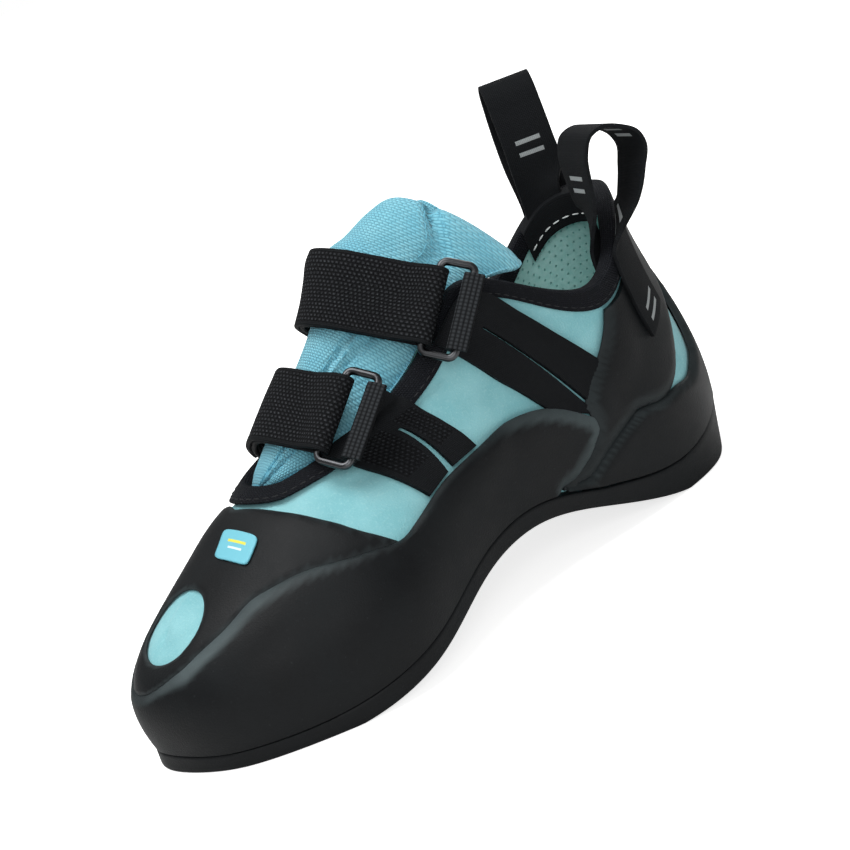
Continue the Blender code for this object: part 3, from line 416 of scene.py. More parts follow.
# %% [markdown]
# Suede is split leather with a short brushed nap. The nap lies in slightly
# different ways, so it catches the light unevenly; that light and shade is painted
# into the colour as soft blotches. Its fibres give a fine grain and a little sheen.
# Hair strands would show the nap too, but at this distance noise at two scales
# does, for far less. Real fibres are finer than a pixel, so the grain is drawn at 0.6 mm.

# %% Suede
NAP_SHADE_SIZE = 0.012
FIBRE_SIZE = 0.0006
NAP_DEPTH = 0.00045


def make_suede():
    """Brushed split leather: matte, with soft blotches of painted light and shade from the nap, and a light
    sheen.
    """
    material, tree, shader = start_material("aqua split suede", 0.92)
    coords = object_coords(tree)
    # The blotches are the nap's light and shade, painted into the colour.
    blotches = noise(tree, coords, NAP_SHADE_SIZE, 3.0)
    fibres = noise(tree, coords, FIBRE_SIZE, 4.0)
    tone = blend(tree, clamp_range(tree, blotches, 0.35, 0.65), colour("#80BCC3"), colour("#8FC8CE"))
    speck = clamp_range(tree, fibres, 0.52, 0.72)
    tone = blend(tree, calc(tree, "MULTIPLY", speck, 0.35), tone, colour("#AFDADC"))
    shader.inputs["Sheen Weight"].default_value = 0.18
    shader.inputs["Sheen Roughness"].default_value = 0.4
    shader.inputs["Specular IOR Level"].default_value = 0.2
    relief = calc(tree, "ADD", calc(tree, "MULTIPLY", fibres, 0.5), calc(tree, "MULTIPLY", blotches, 0.5))
    finish_material(tree, shader, tone, bump(tree, relief, NAP_DEPTH))
    return material


suede = make_suede()
print("made", suede.name)

# %% [markdown]
# Climbing rubber is moulded, carbon black and sticky, so it is a deep, dull
# black with faint smears. Where its edges were ground to a ramp it is greyer and
# drier, and a painted highlight is added there too, where the ramp faces the light.
# The panel meshes carry that grey as a point attribute, which follows the real edge;
# a painted mask would have to be redone for every new outline.

# %% Rubber
SMEAR_SIZE = 0.020
GRAIN_SIZE = 0.0005
DUST_SIZE = 0.0011
GRAIN_DEPTH = 0.00010


def make_rubber():
    """Moulded black rubber: dull, a little smeared, grey where it was ground, with a painted highlight on
    those ramps.
    """
    material, tree, shader = start_material("moulded climbing rubber", 0.55, ior=1.52)
    coords = object_coords(tree)
    buffed_and_highlit = add_node(tree, "ShaderNodeAttribute", {"attribute_name": "buffed_and_highlit"}, {}).outputs["Fac"]
    smears = clamp_range(tree, noise(tree, coords, SMEAR_SIZE, 4.0), 0.35, 0.70)
    grain = noise(tree, coords, GRAIN_SIZE, 3.0)
    tone = blend(tree, smears, colour("#0D0F11"), colour("#131618"))
    dust = clamp_range(tree, noise(tree, coords, DUST_SIZE, 2.0), 0.68, 0.80)
    tone = blend(tree, calc(tree, "MULTIPLY", dust, 0.10), tone, colour("#565C5F"))
    # Grey on the ground ramps: the rubber's ground grey together with a painted highlight.
    ground = calc(tree, "MULTIPLY", buffed_and_highlit, calc(tree, "MULTIPLY_ADD", smears, 0.5, 0.5))
    tone = blend(tree, ground, tone, colour("#525D5F"))
    rough = calc(tree, "MULTIPLY_ADD", smears, 0.16, 0.44)
    rough = calc(tree, "MULTIPLY_ADD", buffed_and_highlit, 0.12, rough)
    shader.inputs["Specular IOR Level"].default_value = 0.16
    finish_material(tree, shader, tone, bump(tree, grain, GRAIN_DEPTH), rough)
    return material


rubber = make_rubber()
print("made", rubber.name)

# %% [markdown]
# The straps are woven nylon webbing. Threads could be modelled one by one, but
# two crossed rows of ridges, with every second row shifted by half a knot, give
# the same relief. A knot is 1.4 mm long and 1.2 mm wide. The lower anchor's legs
# carry a coarser elastic grid, of 1.5 mm by 1.3 mm.

# %% Woven straps
STRAP_KNOT = {"along_pitch": 0.0014, "across_pitch": 0.0012, "depth": 0.00055}
GRID_KNOT = {"along_pitch": 0.0015, "across_pitch": 0.0013, "depth": 0.00045}
FUZZ_SIZE = 0.0004


def make_weave(name, thread, along_pitch, across_pitch, depth):
    """Nylon basket weave: black, with a painted grey highlight on the tops of its knots, broken up by fuzz.
    """
    material, tree, shader = start_material(name, 0.82)
    along, across = tape_coords(tree)
    row = calc(tree, "FLOOR", calc(tree, "DIVIDE", across, across_pitch))
    shift = calc(tree, "MULTIPLY", row, math.pi / 2)
    turn = calc(tree, "MULTIPLY_ADD", along, math.pi / along_pitch, shift)
    knots = calc(tree, "ABSOLUTE", calc(tree, "SINE", turn))
    height = calc(tree, "MULTIPLY", knots, wave(tree, across, across_pitch))
    fuzz = noise(tree, object_coords(tree), FUZZ_SIZE, 2.0)
    # Grey where the knots rise and the fuzz noise is high: a painted highlight on the knot tops.
    light = calc(tree, "MULTIPLY", calc(tree, "POWER", height, 2.0), clamp_range(tree, fuzz, 0.30, 0.75))
    shader.inputs["Specular IOR Level"].default_value = 0.12
    finish_material(tree, shader, blend(tree, light, colour("#0C0D0F"), colour(thread)),
                    bump(tree, height, depth))
    return material


strap_weave = make_weave("basket-woven strap", "#4C4F53", **STRAP_KNOT)
grid_weave = make_weave("coarse elastic grid", "#33363A", **GRID_KNOT)
print("made", strap_weave.name, "and", grid_weave.name)

# %% [markdown]
# The tape round each ring's bar is an elastic knit with a grey thread. The grey is
# painted on the raised stitches only, as a painted highlight, and the grooves
# between them stay black as painted shade. Its ribs lie 1.4 mm apart and are
# crossed by stitches of 1.2 mm, which the eye sees as a close grid.

# %% Ribbed knit
RIB_PITCH = 0.0014
RIB_STITCH = 0.0012
RIB_DEPTH = 0.0003


def make_ribbed_knit():
    """Elastic knit: soft ribs across the tape, cut into stitches."""
    material, tree, shader = start_material("ribbed elastic knit", 0.85)
    along, across = tape_coords(tree)
    stitch = calc(tree, "MULTIPLY_ADD", wave(tree, across, RIB_STITCH), 0.7, 0.3)
    height = calc(tree, "MULTIPLY", wave(tree, along, RIB_PITCH), stitch)
    shader.inputs["Specular IOR Level"].default_value = 0.12
    # Grey on the raised stitches, black in the grooves: painted highlight and painted shade.
    tone = blend(tree, calc(tree, "MULTIPLY", height, 0.8), colour("#0C0D0F"), colour("#3A3D40"))
    finish_material(tree, shader, tone, bump(tree, height, RIB_DEPTH))
    return material


ribbed_knit = make_ribbed_knit()
print("made", ribbed_knit.name)

# %% [markdown]
# Narrow tape is woven so densely that its face is nearly smooth: the threads lie
# 0.5 mm and 0.6 mm apart. The pull loops have pairs of short light bars woven
# in, one pair every 30 mm. Since they follow the tape's own lengths, they bend
# with the loop, as an image laid over it would not.

# %% Narrow tapes
THREAD_ALONG = 0.0005
THREAD_ACROSS = 0.0006
THREAD_DEPTH = 0.00012
BAR_REPEAT = 0.0300
BAR_PLACE = 0.0020
BAR_HALF_WIDTH = 0.0007
BAR_HALF_LENGTH = 0.0042


def woven_bars(tree, along, across):
    """1 on the light bars that cross the tape, and 0 beside them."""
    place = calc(tree, "ABSOLUTE", calc(tree, "WRAP", along, BAR_REPEAT / 2, -BAR_REPEAT / 2))
    aside = calc(tree, "ABSOLUTE", calc(tree, "SUBTRACT", place, BAR_PLACE))
    bars = calc(tree, "LESS_THAN", aside, BAR_HALF_WIDTH)
    short = calc(tree, "LESS_THAN", calc(tree, "ABSOLUTE", across), BAR_HALF_LENGTH)
    return calc(tree, "MULTIPLY", bars, short)


def make_plain_tape(name, barred=False):
    """Dense narrow weave: black and matte, lighter on its thread tops as a painted highlight, with light bars
    if it is barred.
    """
    material, tree, shader = start_material(name, 0.78)
    along, across = tape_coords(tree)
    height = calc(tree, "MULTIPLY", wave(tree, along, THREAD_ALONG), wave(tree, across, THREAD_ACROSS))
    # Lighter on the tops of the threads: a painted highlight; darker between them: painted shade.
    tone = blend(tree, calc(tree, "MULTIPLY", height, 0.5), colour("#0B0D0F"), colour("#202327"))
    if barred:
        # The bars are lighter on their thread tops too: a painted highlight over the woven bars.
        threads = calc(tree, "MULTIPLY_ADD", wave(tree, across, THREAD_ACROSS), 0.3, 0.7)
        figure = calc(tree, "MULTIPLY", woven_bars(tree, along, across), threads)
        tone = blend(tree, figure, tone, colour("#A3A8A9"))
    shader.inputs["Specular IOR Level"].default_value = 0.15
    finish_material(tree, shader, tone, bump(tree, height, THREAD_DEPTH))
    return material


plain_tape = make_plain_tape("plain narrow tape")
loop_tape = make_plain_tape("pull loop tape", barred=True)
print("made", plain_tape.name, "and", loop_tape.name)

# %% [markdown]
# The bindings are a folded knitted tape, lighter on its ridges as a painted
# highlight, with small grey glints painted where its glittering filaments catch
# the light. A knit leans where a weave is square, so its ridges cross at a slant.

# %% Knitted binding
KNIT_SLANT = 0.8
KNIT_ALONG = 0.0008
KNIT_ACROSS = 0.0007
KNIT_DEPTH = 0.00030
GLINT_SIZE = 0.0005


def make_binding_knit():
    """Fine knitted tape: blue-black, lighter on its ridges as a painted highlight, with small painted grey
    glints.
    """
    material, tree, shader = start_material("knitted binding tape", 0.80)
    along, across = tape_coords(tree)
    slanted = calc(tree, "MULTIPLY_ADD", across, KNIT_SLANT, along)
    height = calc(tree, "MULTIPLY", wave(tree, slanted, KNIT_ALONG), wave(tree, across, KNIT_ACROSS))
    # Painted light: small grey glints, and the ridge tops lighter as a painted highlight.
    glint = clamp_range(tree, noise(tree, object_coords(tree), GLINT_SIZE, 1.0), 0.68, 0.78)
    tone = blend(tree, calc(tree, "MULTIPLY", height, 0.5), colour("#0D0F13"), colour("#23262D"))
    tone = blend(tree, calc(tree, "MULTIPLY", glint, 0.5), tone, colour("#4C5057"))
    shader.inputs["Specular IOR Level"].default_value = 0.15
    finish_material(tree, shader, tone, bump(tree, height, KNIT_DEPTH))
    return material


binding_knit = make_binding_knit()
print("made", binding_knit.name)

# %% [markdown]
# The tongue is padded spacer mesh: slanted oval cells about 1.5 mm long, in
# staggered rows 0.9 mm apart, with pits darkened by painted shade. Real holes would
# need millions of faces, so colour and bump draw them.

# %% Air mesh
CELL_LEAN = 0.45
CELL_ROW = 0.0009
CELL_LENGTH = 0.0015
CELL_DEPTH = 0.00040
YARN_BLOTCH = 0.010


def make_air_mesh():
    """Padded spacer mesh: light blue yarn round slanted pits, darkened by painted shade."""
    material, tree, shader = start_material("padded air mesh", 0.88)
    along, across = tape_coords(tree)
    lean = calc(tree, "MULTIPLY_ADD", along, CELL_LEAN, across)
    row = calc(tree, "FLOOR", calc(tree, "DIVIDE", along, CELL_ROW))
    turn = calc(tree, "MULTIPLY_ADD", lean, math.pi / CELL_LENGTH, calc(tree, "MULTIPLY", row, math.pi / 2))
    cell = calc(tree, "ABSOLUTE", calc(tree, "SINE", turn))
    height = calc(tree, "POWER", calc(tree, "MULTIPLY", cell, wave(tree, along, CELL_ROW)), 0.6)
    blotches = noise(tree, object_coords(tree), YARN_BLOTCH, 2.0)
    yarn = blend(tree, clamp_range(tree, blotches, 0.35, 0.65), colour("#7CC6DA"), colour("#8FD3E3"))
    shader.inputs["Sheen Weight"].default_value = 0.15
    shader.inputs["Specular IOR Level"].default_value = 0.25
    # Darker where the cells sink into pits: painted shade.
    tone = blend(tree, clamp_range(tree, height, 0.05, 0.55), colour("#66AEC5"), yarn)
    finish_material(tree, shader, tone, bump(tree, height, CELL_DEPTH))
    return material


air_mesh = make_air_mesh()
print("made", air_mesh.name)

# %% [markdown]
# The lining is a mint microfibre, pricked with small holes 2.6 mm apart in
# staggered rows so that it breathes. Each hole is where the distance to the
# nearest point of that pattern is small, and it is painted darker there as shade.

# %% Lining
HOLE_PITCH = 0.0026
HOLE_INNER = 0.00022
HOLE_OUTER = 0.00042
HOLE_DEPTH = 0.0004
LINING_GRAIN = 0.0016


def make_lining():
    """Pricked microfibre: matte and slightly mottled, with pinholes darkened by painted shade."""
    material, tree, shader = start_material("pricked microfibre lining", 0.80)
    along, across = tape_coords(tree)
    half = HOLE_PITCH / 2
    row = calc(tree, "FLOOR", calc(tree, "DIVIDE", across, HOLE_PITCH))
    x = calc(tree, "WRAP", calc(tree, "MULTIPLY_ADD", row, half, along), half, -half)
    y = calc(tree, "SUBTRACT", calc(tree, "WRAP", across, HOLE_PITCH, 0.0), half)
    reach = calc(tree, "SQRT", calc(tree, "ADD", calc(tree, "MULTIPLY", x, x), calc(tree, "MULTIPLY", y, y)))
    open_share = clamp_range(tree, reach, HOLE_INNER, HOLE_OUTER)
    grain = noise(tree, object_coords(tree), LINING_GRAIN, 3.0)
    tone = blend(tree, clamp_range(tree, grain, 0.3, 0.7), colour("#A4DED8"), colour("#BCEAE5"))
    # Darker in the pinholes: painted shade in the holes.
    tone = blend(tree, open_share, colour("#7CBDB9"), tone)
    relief = calc(tree, "MULTIPLY", open_share, calc(tree, "MULTIPLY_ADD", grain, 0.5, 0.5))
    finish_material(tree, shader, tone, bump(tree, relief, HOLE_DEPTH))
    return material


lining = make_lining()
print("made", lining.name)

# %% [markdown]
# The last few are simple. Drawn wire with a dark plating is smooth, so it shows
# soft streaks of light and only a faint grain. Sewing thread and fleece are dull
# and need one colour each. The tab on the toe cap is printed: aqua, with two
# plain stripes.

# %% Wire, thread, fleece and tab
# Columns: middle across the tab, half width across, half length along, colour
STRIPES = (
    (0.36, 0.045, 0.26, "#E3DE4E"),
    (0.58, 0.035, 0.20, "#DCEFF2"),
)
TAB_MIDDLE = 0.5


def make_plain(name, code, roughness, metallic=0.0, grain=0.0, size=0.0005):
    """One colour with an optional fine grain."""
    material, tree, shader = start_material(name, roughness, metallic)
    shader.inputs["Base Color"].default_value = colour(code)
    if grain:
        normal = bump(tree, noise(tree, object_coords(tree), size), grain)
        tree.links.new(normal, shader.inputs["Normal"])
    return material


def within(tree, value, middle, reach):
    """1 where a value is nearer to its middle than the reach, and 0 elsewhere."""
    return calc(tree, "LESS_THAN", calc(tree, "ABSOLUTE", calc(tree, "SUBTRACT", value, middle)), reach)


def make_tab_print():
    """A smooth printed tab with two plain stripes."""
    material, tree, shader = start_material("printed toe tab", 0.55)
    along, across = tape_coords(tree)
    tone = colour("#6FBFD0")
    for middle, half_width, half_length, code in STRIPES:
        stripe = calc(tree, "MULTIPLY", within(tree, across, middle, half_width),
                      within(tree, along, TAB_MIDDLE, half_length))
        tone = blend(tree, stripe, tone, colour(code))
    finish_material(tree, shader, tone)
    return material


dark_steel = make_plain("dark plated wire", "#4A4B4D", 0.28, metallic=1.0, grain=0.00003, size=0.0004)
black_thread = make_plain("black thread", "#1A1C1F", 0.7)
white_thread = make_plain("white thread", "#D5D9D8", 0.7)
aqua_thread = make_plain("aqua thread", "#6DB6CB", 0.75)
fleece = make_plain("grey fleece", "#6C7274", 0.95, grain=0.0005)
tab_print = make_tab_print()
print("made", len(bpy.data.materials), "materials in all")

# %% [markdown]
# Every piece becomes a mesh object, rides the shoe's one body and takes the place
# of its rough twin in the frame. These helpers do that once for all of them.

# %% Meshes and their nodes
SMOOTH_ANGLE = math.radians(50)


def link_mesh(name, verts, faces, materials, face_materials=None, uvs=None):
    """A smooth mesh object from points, faces, and a UV place for each point."""
    mesh = bpy.data.meshes.new(name)
    mesh.from_pydata([tuple(vert) for vert in verts], [], [tuple(face) for face in faces])
    for material in materials:
        mesh.materials.append(material)
    if face_materials is not None:
        mesh.polygons.foreach_set("material_index", face_materials)
    if uvs is not None:
        corners = np.empty(len(mesh.loops), int)
        mesh.loops.foreach_get("vertex_index", corners)
        layer = mesh.uv_layers.new(name="lengths")
        layer.data.foreach_set("uv", np.asarray(uvs, float)[corners].ravel())
    mesh.shade_smooth()
    mesh.set_sharp_from_angle(angle=SMOOTH_ANGLE)
    thing = bpy.data.objects.new(name, mesh)
    bpy.context.scene.collection.objects.link(thing)
    return thing


def weld(thing):
    """Joins the two sides of a piece where they meet on the ridge."""
    thing.modifiers.new("joined ridge", "WELD").merge_threshold = WELD
    return thing


def dress(thing, slot, *nodes):
    """The piece takes the place of CAD nodes and rides the shoe; slot is not used."""
    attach(thing, "root")
    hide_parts(*nodes)
    return thing


def thicken(thing, thickness):
    """Gives a sheet its thickness, half of it to each side."""
    wall = thing.modifiers.new("thickness", "SOLIDIFY")
    wall.thickness = thickness
    wall.offset = 0.0
    return thing


print("faces look sharp from", round(math.degrees(SMOOTH_ANGLE)), "degrees")

# %% [markdown]
# A rubber overlay is a sheet cut to its outline, glued on and ground along its
# edges. A boolean cut of a curved sheet leaves slivers, so each outline is a set
# of levels over u and v instead: the last's fine lattice is kept where all of
# them are above zero, and a quad that a level crosses is clipped along it. The
# outside sinks towards a free edge, as a ground one does.

# %% Panels
FINE_COLUMNS = 280
FINE_ROWS = 45
LATTICE_MERGE = 1e-5
RAMP_ROUNDNESS = 0.8
BUFF_AND_HIGHLIGHT_STEEPNESS = 3


def clip(polygon, index):
    """The part of a polygon where one of its fields isn't negative."""
    kept = []
    for here, there in zip(polygon, polygon[1:] + polygon[:1]):
        if here[index] >= 0:
            kept.append(here)
        if (here[index] >= 0) != (there[index] >= 0):
            kept.append(here + (there - here) * (here[index] / (here[index] - there[index])))
    return kept


def cut_lattice(levels, span):
    """Places and faces of the last's fine lattice, cut where a level is negative."""
    step = 2.0 / FINE_COLUMNS
    columns = np.arange(math.floor(span[0] / step), math.ceil(span[1] / step) + 1) * step
    places_u, places_v = np.meshgrid(columns, np.linspace(0, 1, FINE_ROWS + 1), indexing="ij")
    fields = np.stack([places_u, places_v, *levels(places_u, places_v)], axis=-1)
    work = bmesh.new()
    for i in range(len(columns) - 1):
        for j in range(FINE_ROWS):
            polygon = [fields[i, j], fields[i + 1, j], fields[i + 1, j + 1], fields[i, j + 1]]
            for index in range(2, fields.shape[-1]):
                polygon = clip(polygon, index) if len(polygon) > 2 else []
            if len(polygon) > 2:
                work.faces.new([work.verts.new((corner[0], corner[1], 0.0)) for corner in polygon])
    bmesh.ops.remove_doubles(work, verts=work.verts, dist=LATTICE_MERGE)
    bmesh.ops.dissolve_degenerate(work, dist=LATTICE_MERGE, edges=work.edges)
    work.verts.index_update()
    places = np.array([vert.co[:2] for vert in work.verts])
    faces = [[vert.index for vert in face.verts] for face in work.faces]
    edges = [(loop.vert.index, loop.link_loop_next.vert.index)
             for face in work.faces for loop in face.loops if loop.edge.is_boundary]
    on_ridge = (places[:, 1] > 1 - LATTICE_MERGE) & (np.abs(fold(places[:, 0])) < THROAT_START)
    edges = [pair for pair in edges if not (on_ridge[pair[0]] and on_ridge[pair[1]])]
    work.free()
    return places, faces, edges


def distances(points, targets):
    """Distance from each point to the nearest target."""
    tree = KDTree(len(targets))
    for index, target in enumerate(targets):
        tree.insert(target, index)
    tree.balance()
    return np.array([tree.find(point)[2] for point in points])


def panel(name, levels, span, lift, thickness, edge, ramp, buffed_and_highlit, is_free):
    """A solid rubber overlay with ground edges.

    edge is its thickness at a free edge, ramp how far the edge's slope reaches,
    the next argument how grey the slope is, partly ground rubber and partly a painted
    highlight, and is_free says where a boundary is free. The last three are functions
    of u and v.
    """
    places, faces, edges = cut_lattice(levels, span)
    u, v = places[:, 0], places[:, 1]
    base = last_point(u, v)
    free = [pair for pair in edges if all(is_free(u[end], v[end]) for end in pair)]
    starts = base[[pair[0] for pair in free]]
    ends = base[[pair[1] for pair in free]]
    targets = np.concatenate([starts, (starts + ends) / 2])
    share = np.clip(distances(base, targets) / ramp(u, v), 0, 1)
    height = edge + (thickness - edge) * np.sin(share * math.pi / 2) ** RAMP_ROUNDNESS
    under = lift(u, v)
    top = last_offset(u, v, under + height)
    bottom = last_offset(u, v, under)
    count = len(u)
    under_faces = [[count + index for index in reversed(face)] for face in faces]
    edge_faces = [[b, a, count + a, count + b] for a, b in edges]
    thing = link_mesh(name, np.concatenate([top, bottom]), faces + under_faces + edge_faces, [rubber])
    attribute = thing.data.attributes.new("buffed_and_highlit", "FLOAT", "POINT")
    # How grey the ramp is: ground rubber and a painted highlight, strongest at the free edge.
    slope = np.clip((1 - share) * BUFF_AND_HIGHLIGHT_STEEPNESS, 0, 1) * buffed_and_highlit(u, v)
    attribute.data.foreach_set("value", np.concatenate([slope, slope]))
    return weld(thing)


print("lattice of", FINE_COLUMNS, "by", FINE_ROWS)

# %% [markdown]
# A tape is woven flat and then bent, so it is a lattice of points along its
# middle, given its thickness by a modifier, with its edges rounded. Its UV map
# holds real lengths, which is what its weave is drawn in. The modifiers stay
# live, so a thickness can be changed without building the lattice again.

# %% Tapes
EDGE_BEVEL = 0.00025
EDGE_ANGLE = math.radians(55)


def grid_faces(rows, columns, keep=None):
    """Quads of a lattice of points, listed row after row."""
    return [(row * columns + k, row * columns + k + 1, (row + 1) * columns + k + 1,
             (row + 1) * columns + k)
            for row in range(rows - 1) for k in range(columns - 1) if keep is None or keep(row, k)]


def travel(line):
    """Lengths run along a polyline."""
    return np.concatenate([[0.0], np.cumsum(np.linalg.norm(np.diff(line, axis=0), axis=1))])


def refine(rows, count):
    """More rows by a smooth curve through the given ones, spaced by their real distances."""
    rows = np.asarray(rows, float)
    knots = travel(rows.mean(axis=1))
    places = np.linspace(0, knots[-1], count)
    fine = smooth_curve(places, knots, rows.reshape(len(rows), -1))
    return fine.reshape(count, rows.shape[1], 3)


def tape(name, lattice, thickness, materials, face_materials=None, keep=None, bevel=EDGE_BEVEL):
    """A tape on a lattice of middle points, rows along it, with rounded edges."""
    lattice = np.asarray(lattice, float)
    rows, columns = lattice.shape[:2]
    along = np.repeat(travel(lattice[:, columns // 2])[:, None], columns, axis=1)
    widths = np.stack([travel(row) for row in lattice])
    across = widths - widths[:, -1:] / 2
    uvs = np.stack([along.ravel(), across.ravel()], axis=1)
    faces = grid_faces(rows, columns, keep)
    thing = link_mesh(name, lattice.reshape(-1, 3), faces, materials, face_materials, uvs)
    thicken(thing, thickness)
    rounding = thing.modifiers.new("rounded edges", "BEVEL")
    rounding.width = bevel
    rounding.segments = 2
    rounding.limit_method = "ANGLE"
    rounding.angle_limit = EDGE_ANGLE
    return thing


print("tape edges are rounded by", EDGE_BEVEL * 1000, "mm")

# %% [markdown]
# Stitches are small, but they catch the light along every seam, and bump alone
# has no edge against the sky. Each is a short six-sided thread that is thickest
# in its middle and dips into the cloth at both ends. All stitches of a row are
# one mesh.

# %% Stitches
STITCH_SIDES = 6
STITCH_DIP = 0.6
# Columns: place along the stitch, and how thick it is there
STITCH_SHAPE = ((0.0, 0.35), (0.15, 0.85), (0.5, 1.0), (0.85, 0.85), (1.0, 0.35))


def stitches(name, line, outward, length, pause, radius, material):
    """A row of stitches: short rounded threads that dip at both ends."""
    line = np.asarray(line, float)
    outward = np.asarray(outward, float)
    knots = travel(line)
    verts = []
    faces = []
    for start in np.arange(pause, knots[-1] - length, length + pause):
        sides = []
        for share, size in STITCH_SHAPE:
            place = start + share * length
            point = np.array([np.interp(place, knots, line[:, axis]) for axis in range(3)])
            out = np.array([np.interp(place, knots, outward[:, axis]) for axis in range(3)])
            out = out / np.linalg.norm(out)
            sides.append((point + out * radius * (size - STITCH_DIP), out, size))
        ahead = sides[-1][0] - sides[0][0]
        ahead = ahead / np.linalg.norm(ahead)
        base = len(verts)
        for point, out, size in sides:
            side = np.cross(ahead, out)
            for turn in np.arange(STITCH_SIDES) * (2 * math.pi / STITCH_SIDES):
                verts.append(point + radius * size * (out * math.cos(turn) + side * math.sin(turn)))
        for ring in range(len(sides) - 1):
            for k in range(STITCH_SIDES):
                low, high = base + ring * STITCH_SIDES, base + (ring + 1) * STITCH_SIDES
                after = (k + 1) % STITCH_SIDES
                faces.append((low + k, low + after, high + after, high + k))
        faces.append(tuple(base + k for k in reversed(range(STITCH_SIDES))))
        final = base + (len(sides) - 1) * STITCH_SIDES
        faces.append(tuple(final + k for k in range(STITCH_SIDES)))
    thing = link_mesh(name, verts, faces, [material])
    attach(thing, "root")
    return thing


print("sides to a stitch:", STITCH_SIDES)

# %% [markdown]
# The upper is one skin of suede with its lining glued inside, so it is made as
# one closed mesh: outside, lining and the rim between them. Cloth simulation
# would make creases, but not the same ones twice. Here soft pulls and a few
# creases are placed where the toes bend and where the straps draw the wall in.
# They only sink the suede, so the overlays stay clear of it.

# %% Upper
# Each crease runs from one place u, v to another, with its half width and depth in mm.
CREASES = (
    (.452, .62, .463, .90, 2.6, .45),
    (.440, .50, .447, .72, 2.0, .30),
    (.556, .60, .590, .84, 3.0, .55),
    (.570, .50, .604, .70, 2.4, .40),
    (.590, .92, .570, .72, 2.2, .35),
    (.700, .84, .742, .70, 2.4, .30),
    (.715, .90, .765, .84, 2.0, .25),
    (-.46, .60, -.47, .88, 2.6, .45),
    (-.56, .55, -.60, .82, 3.0, .50),
    (-.66, .50, -.70, .78, 2.8, .40),
    (.402, .86, .398, .62, 2.2, .25),
)
CREASE_POINTS = 14
PULL_DEPTH = 0.00035
# Columns: turns over u, turns over v, and start of each slow wave of the pull
PULL_WAVES = ((31, 7, 0), (17, -11, 2))
LINING_SPAN = 0.26
LINING_HEIGHT = 0.09


def upper_relief(u, v, points):
    """How far the suede sinks at each place, in metres."""
    waves = sum(np.sin(u * round_way + v * up_way + start) for round_way, up_way, start in PULL_WAVES)
    sink = PULL_DEPTH * (0.5 + 0.25 * waves)
    share = np.linspace(0, 1, CREASE_POINTS)
    for u0, v0, u1, v1, half_width, depth in CREASES:
        line = last_point(u0 + (u1 - u0) * share, v0 + (v1 - v0) * share)
        gaps = np.linalg.norm(points[..., None, :] - line, axis=-1)
        nearest = gaps.argmin(axis=-1)
        taper = np.sin(math.pi * (0.08 + 0.84 * share[nearest]))
        sink = sink + depth / 1000 * taper * np.exp(-(gaps.min(axis=-1) * 1000 / half_width) ** 2)
    edges = np.clip(v / 0.2, 0, 1) * np.clip((1 - v) / 0.06, 0, 1)
    return sink * edges


def make_upper():
    """Outside, lining and rims as one mesh, open at the throat and the collar."""
    u = fold(np.arange(FINE_COLUMNS) * (2.0 / FINE_COLUMNS))
    v = np.linspace(0, 1, FINE_ROWS + 1)
    places_v, places_u = np.meshgrid(v, u, indexing="ij")
    sink = upper_relief(places_u, places_v, last_point(places_u, places_v))
    outside = last_offset(places_u, places_v, -sink)
    inside = last_offset(places_u, places_v, np.full(places_u.shape, -WALL))
    verts = np.concatenate([outside.reshape(-1, 3), inside.reshape(-1, 3)])
    count = FINE_COLUMNS
    total = outside.shape[0] * count
    faces = []
    kinds = []
    for row in range(FINE_ROWS):
        for k in range(count):
            after = (k + 1) % count
            quad = (row * count + k, row * count + after, (row + 1) * count + after, (row + 1) * count + k)
            ridge = row == FINE_ROWS - 1 and abs(u[k]) < THROAT_START and abs(u[after]) < THROAT_START
            faces += [quad, tuple(total + index for index in reversed(quad))]
            kinds += [0, 1]
            if row == FINE_ROWS - 1 and not ridge:
                faces.append((quad[3], quad[2], total + quad[2], total + quad[3]))
                kinds.append(0)
            if row == 0:
                faces.append((quad[1], quad[0], total + quad[0], total + quad[1]))
                kinds.append(1)
    lengths = np.stack([places_u.ravel() * LINING_SPAN, places_v.ravel() * LINING_HEIGHT], axis=1)
    return weld(link_mesh("upper_suede", verts, faces, [suede, lining], kinds,
                          np.concatenate([lengths, lengths])))


upper = dress(make_upper(), "suede", "upper")
print("upper faces:", len(upper.data.polygons))

# %% [markdown]
# The rubber overlays: a thick rand round the foot, a thin cap over the toes, a
# band that pulls the heel forward and a cup under it. Their outlines are short
# tables of places u, v with rounded corners. The rand's top edge is ground to a
# wide ramp beside the toe cap and round the end of its wing, and to a narrow one
# elsewhere, so its ramp and its greyness are tables too. That greyness is partly
# the ground rubber and partly a painted highlight where the ramp catches the light.

# %% Outlines of the rubber
RAND_TOP = (
    (-.700, .200), (-.620, .300), (-.550, .340), (-.420, .340), (-.370, .400), (-.330, .460),
    (-.265, .510), (-.218, .500), (-.163, .450), (-.083, .360), (-.057, .350), (.002, .385),
    (.083, .500), (.163, .556), (.218, .569), (.265, .600), (.328, .525), (.375, .425),
    (.423, .344), (.480, .381), (.508, .394), (.558, .375), (.600, .375), (.653, .338),
    (.680, .306), (.695, .288), (.705, .260),
)
RAND_RAMP = ((-.5, 1.5), (-.2, 3.0), (.05, 3.0), (.12, 5.5), (.27, 5.5), (.36, 3.0), (.42, 1.2),
             (.56, 1.6), (.60, 3.5), (.66, 5.0), (.72, 5.0))
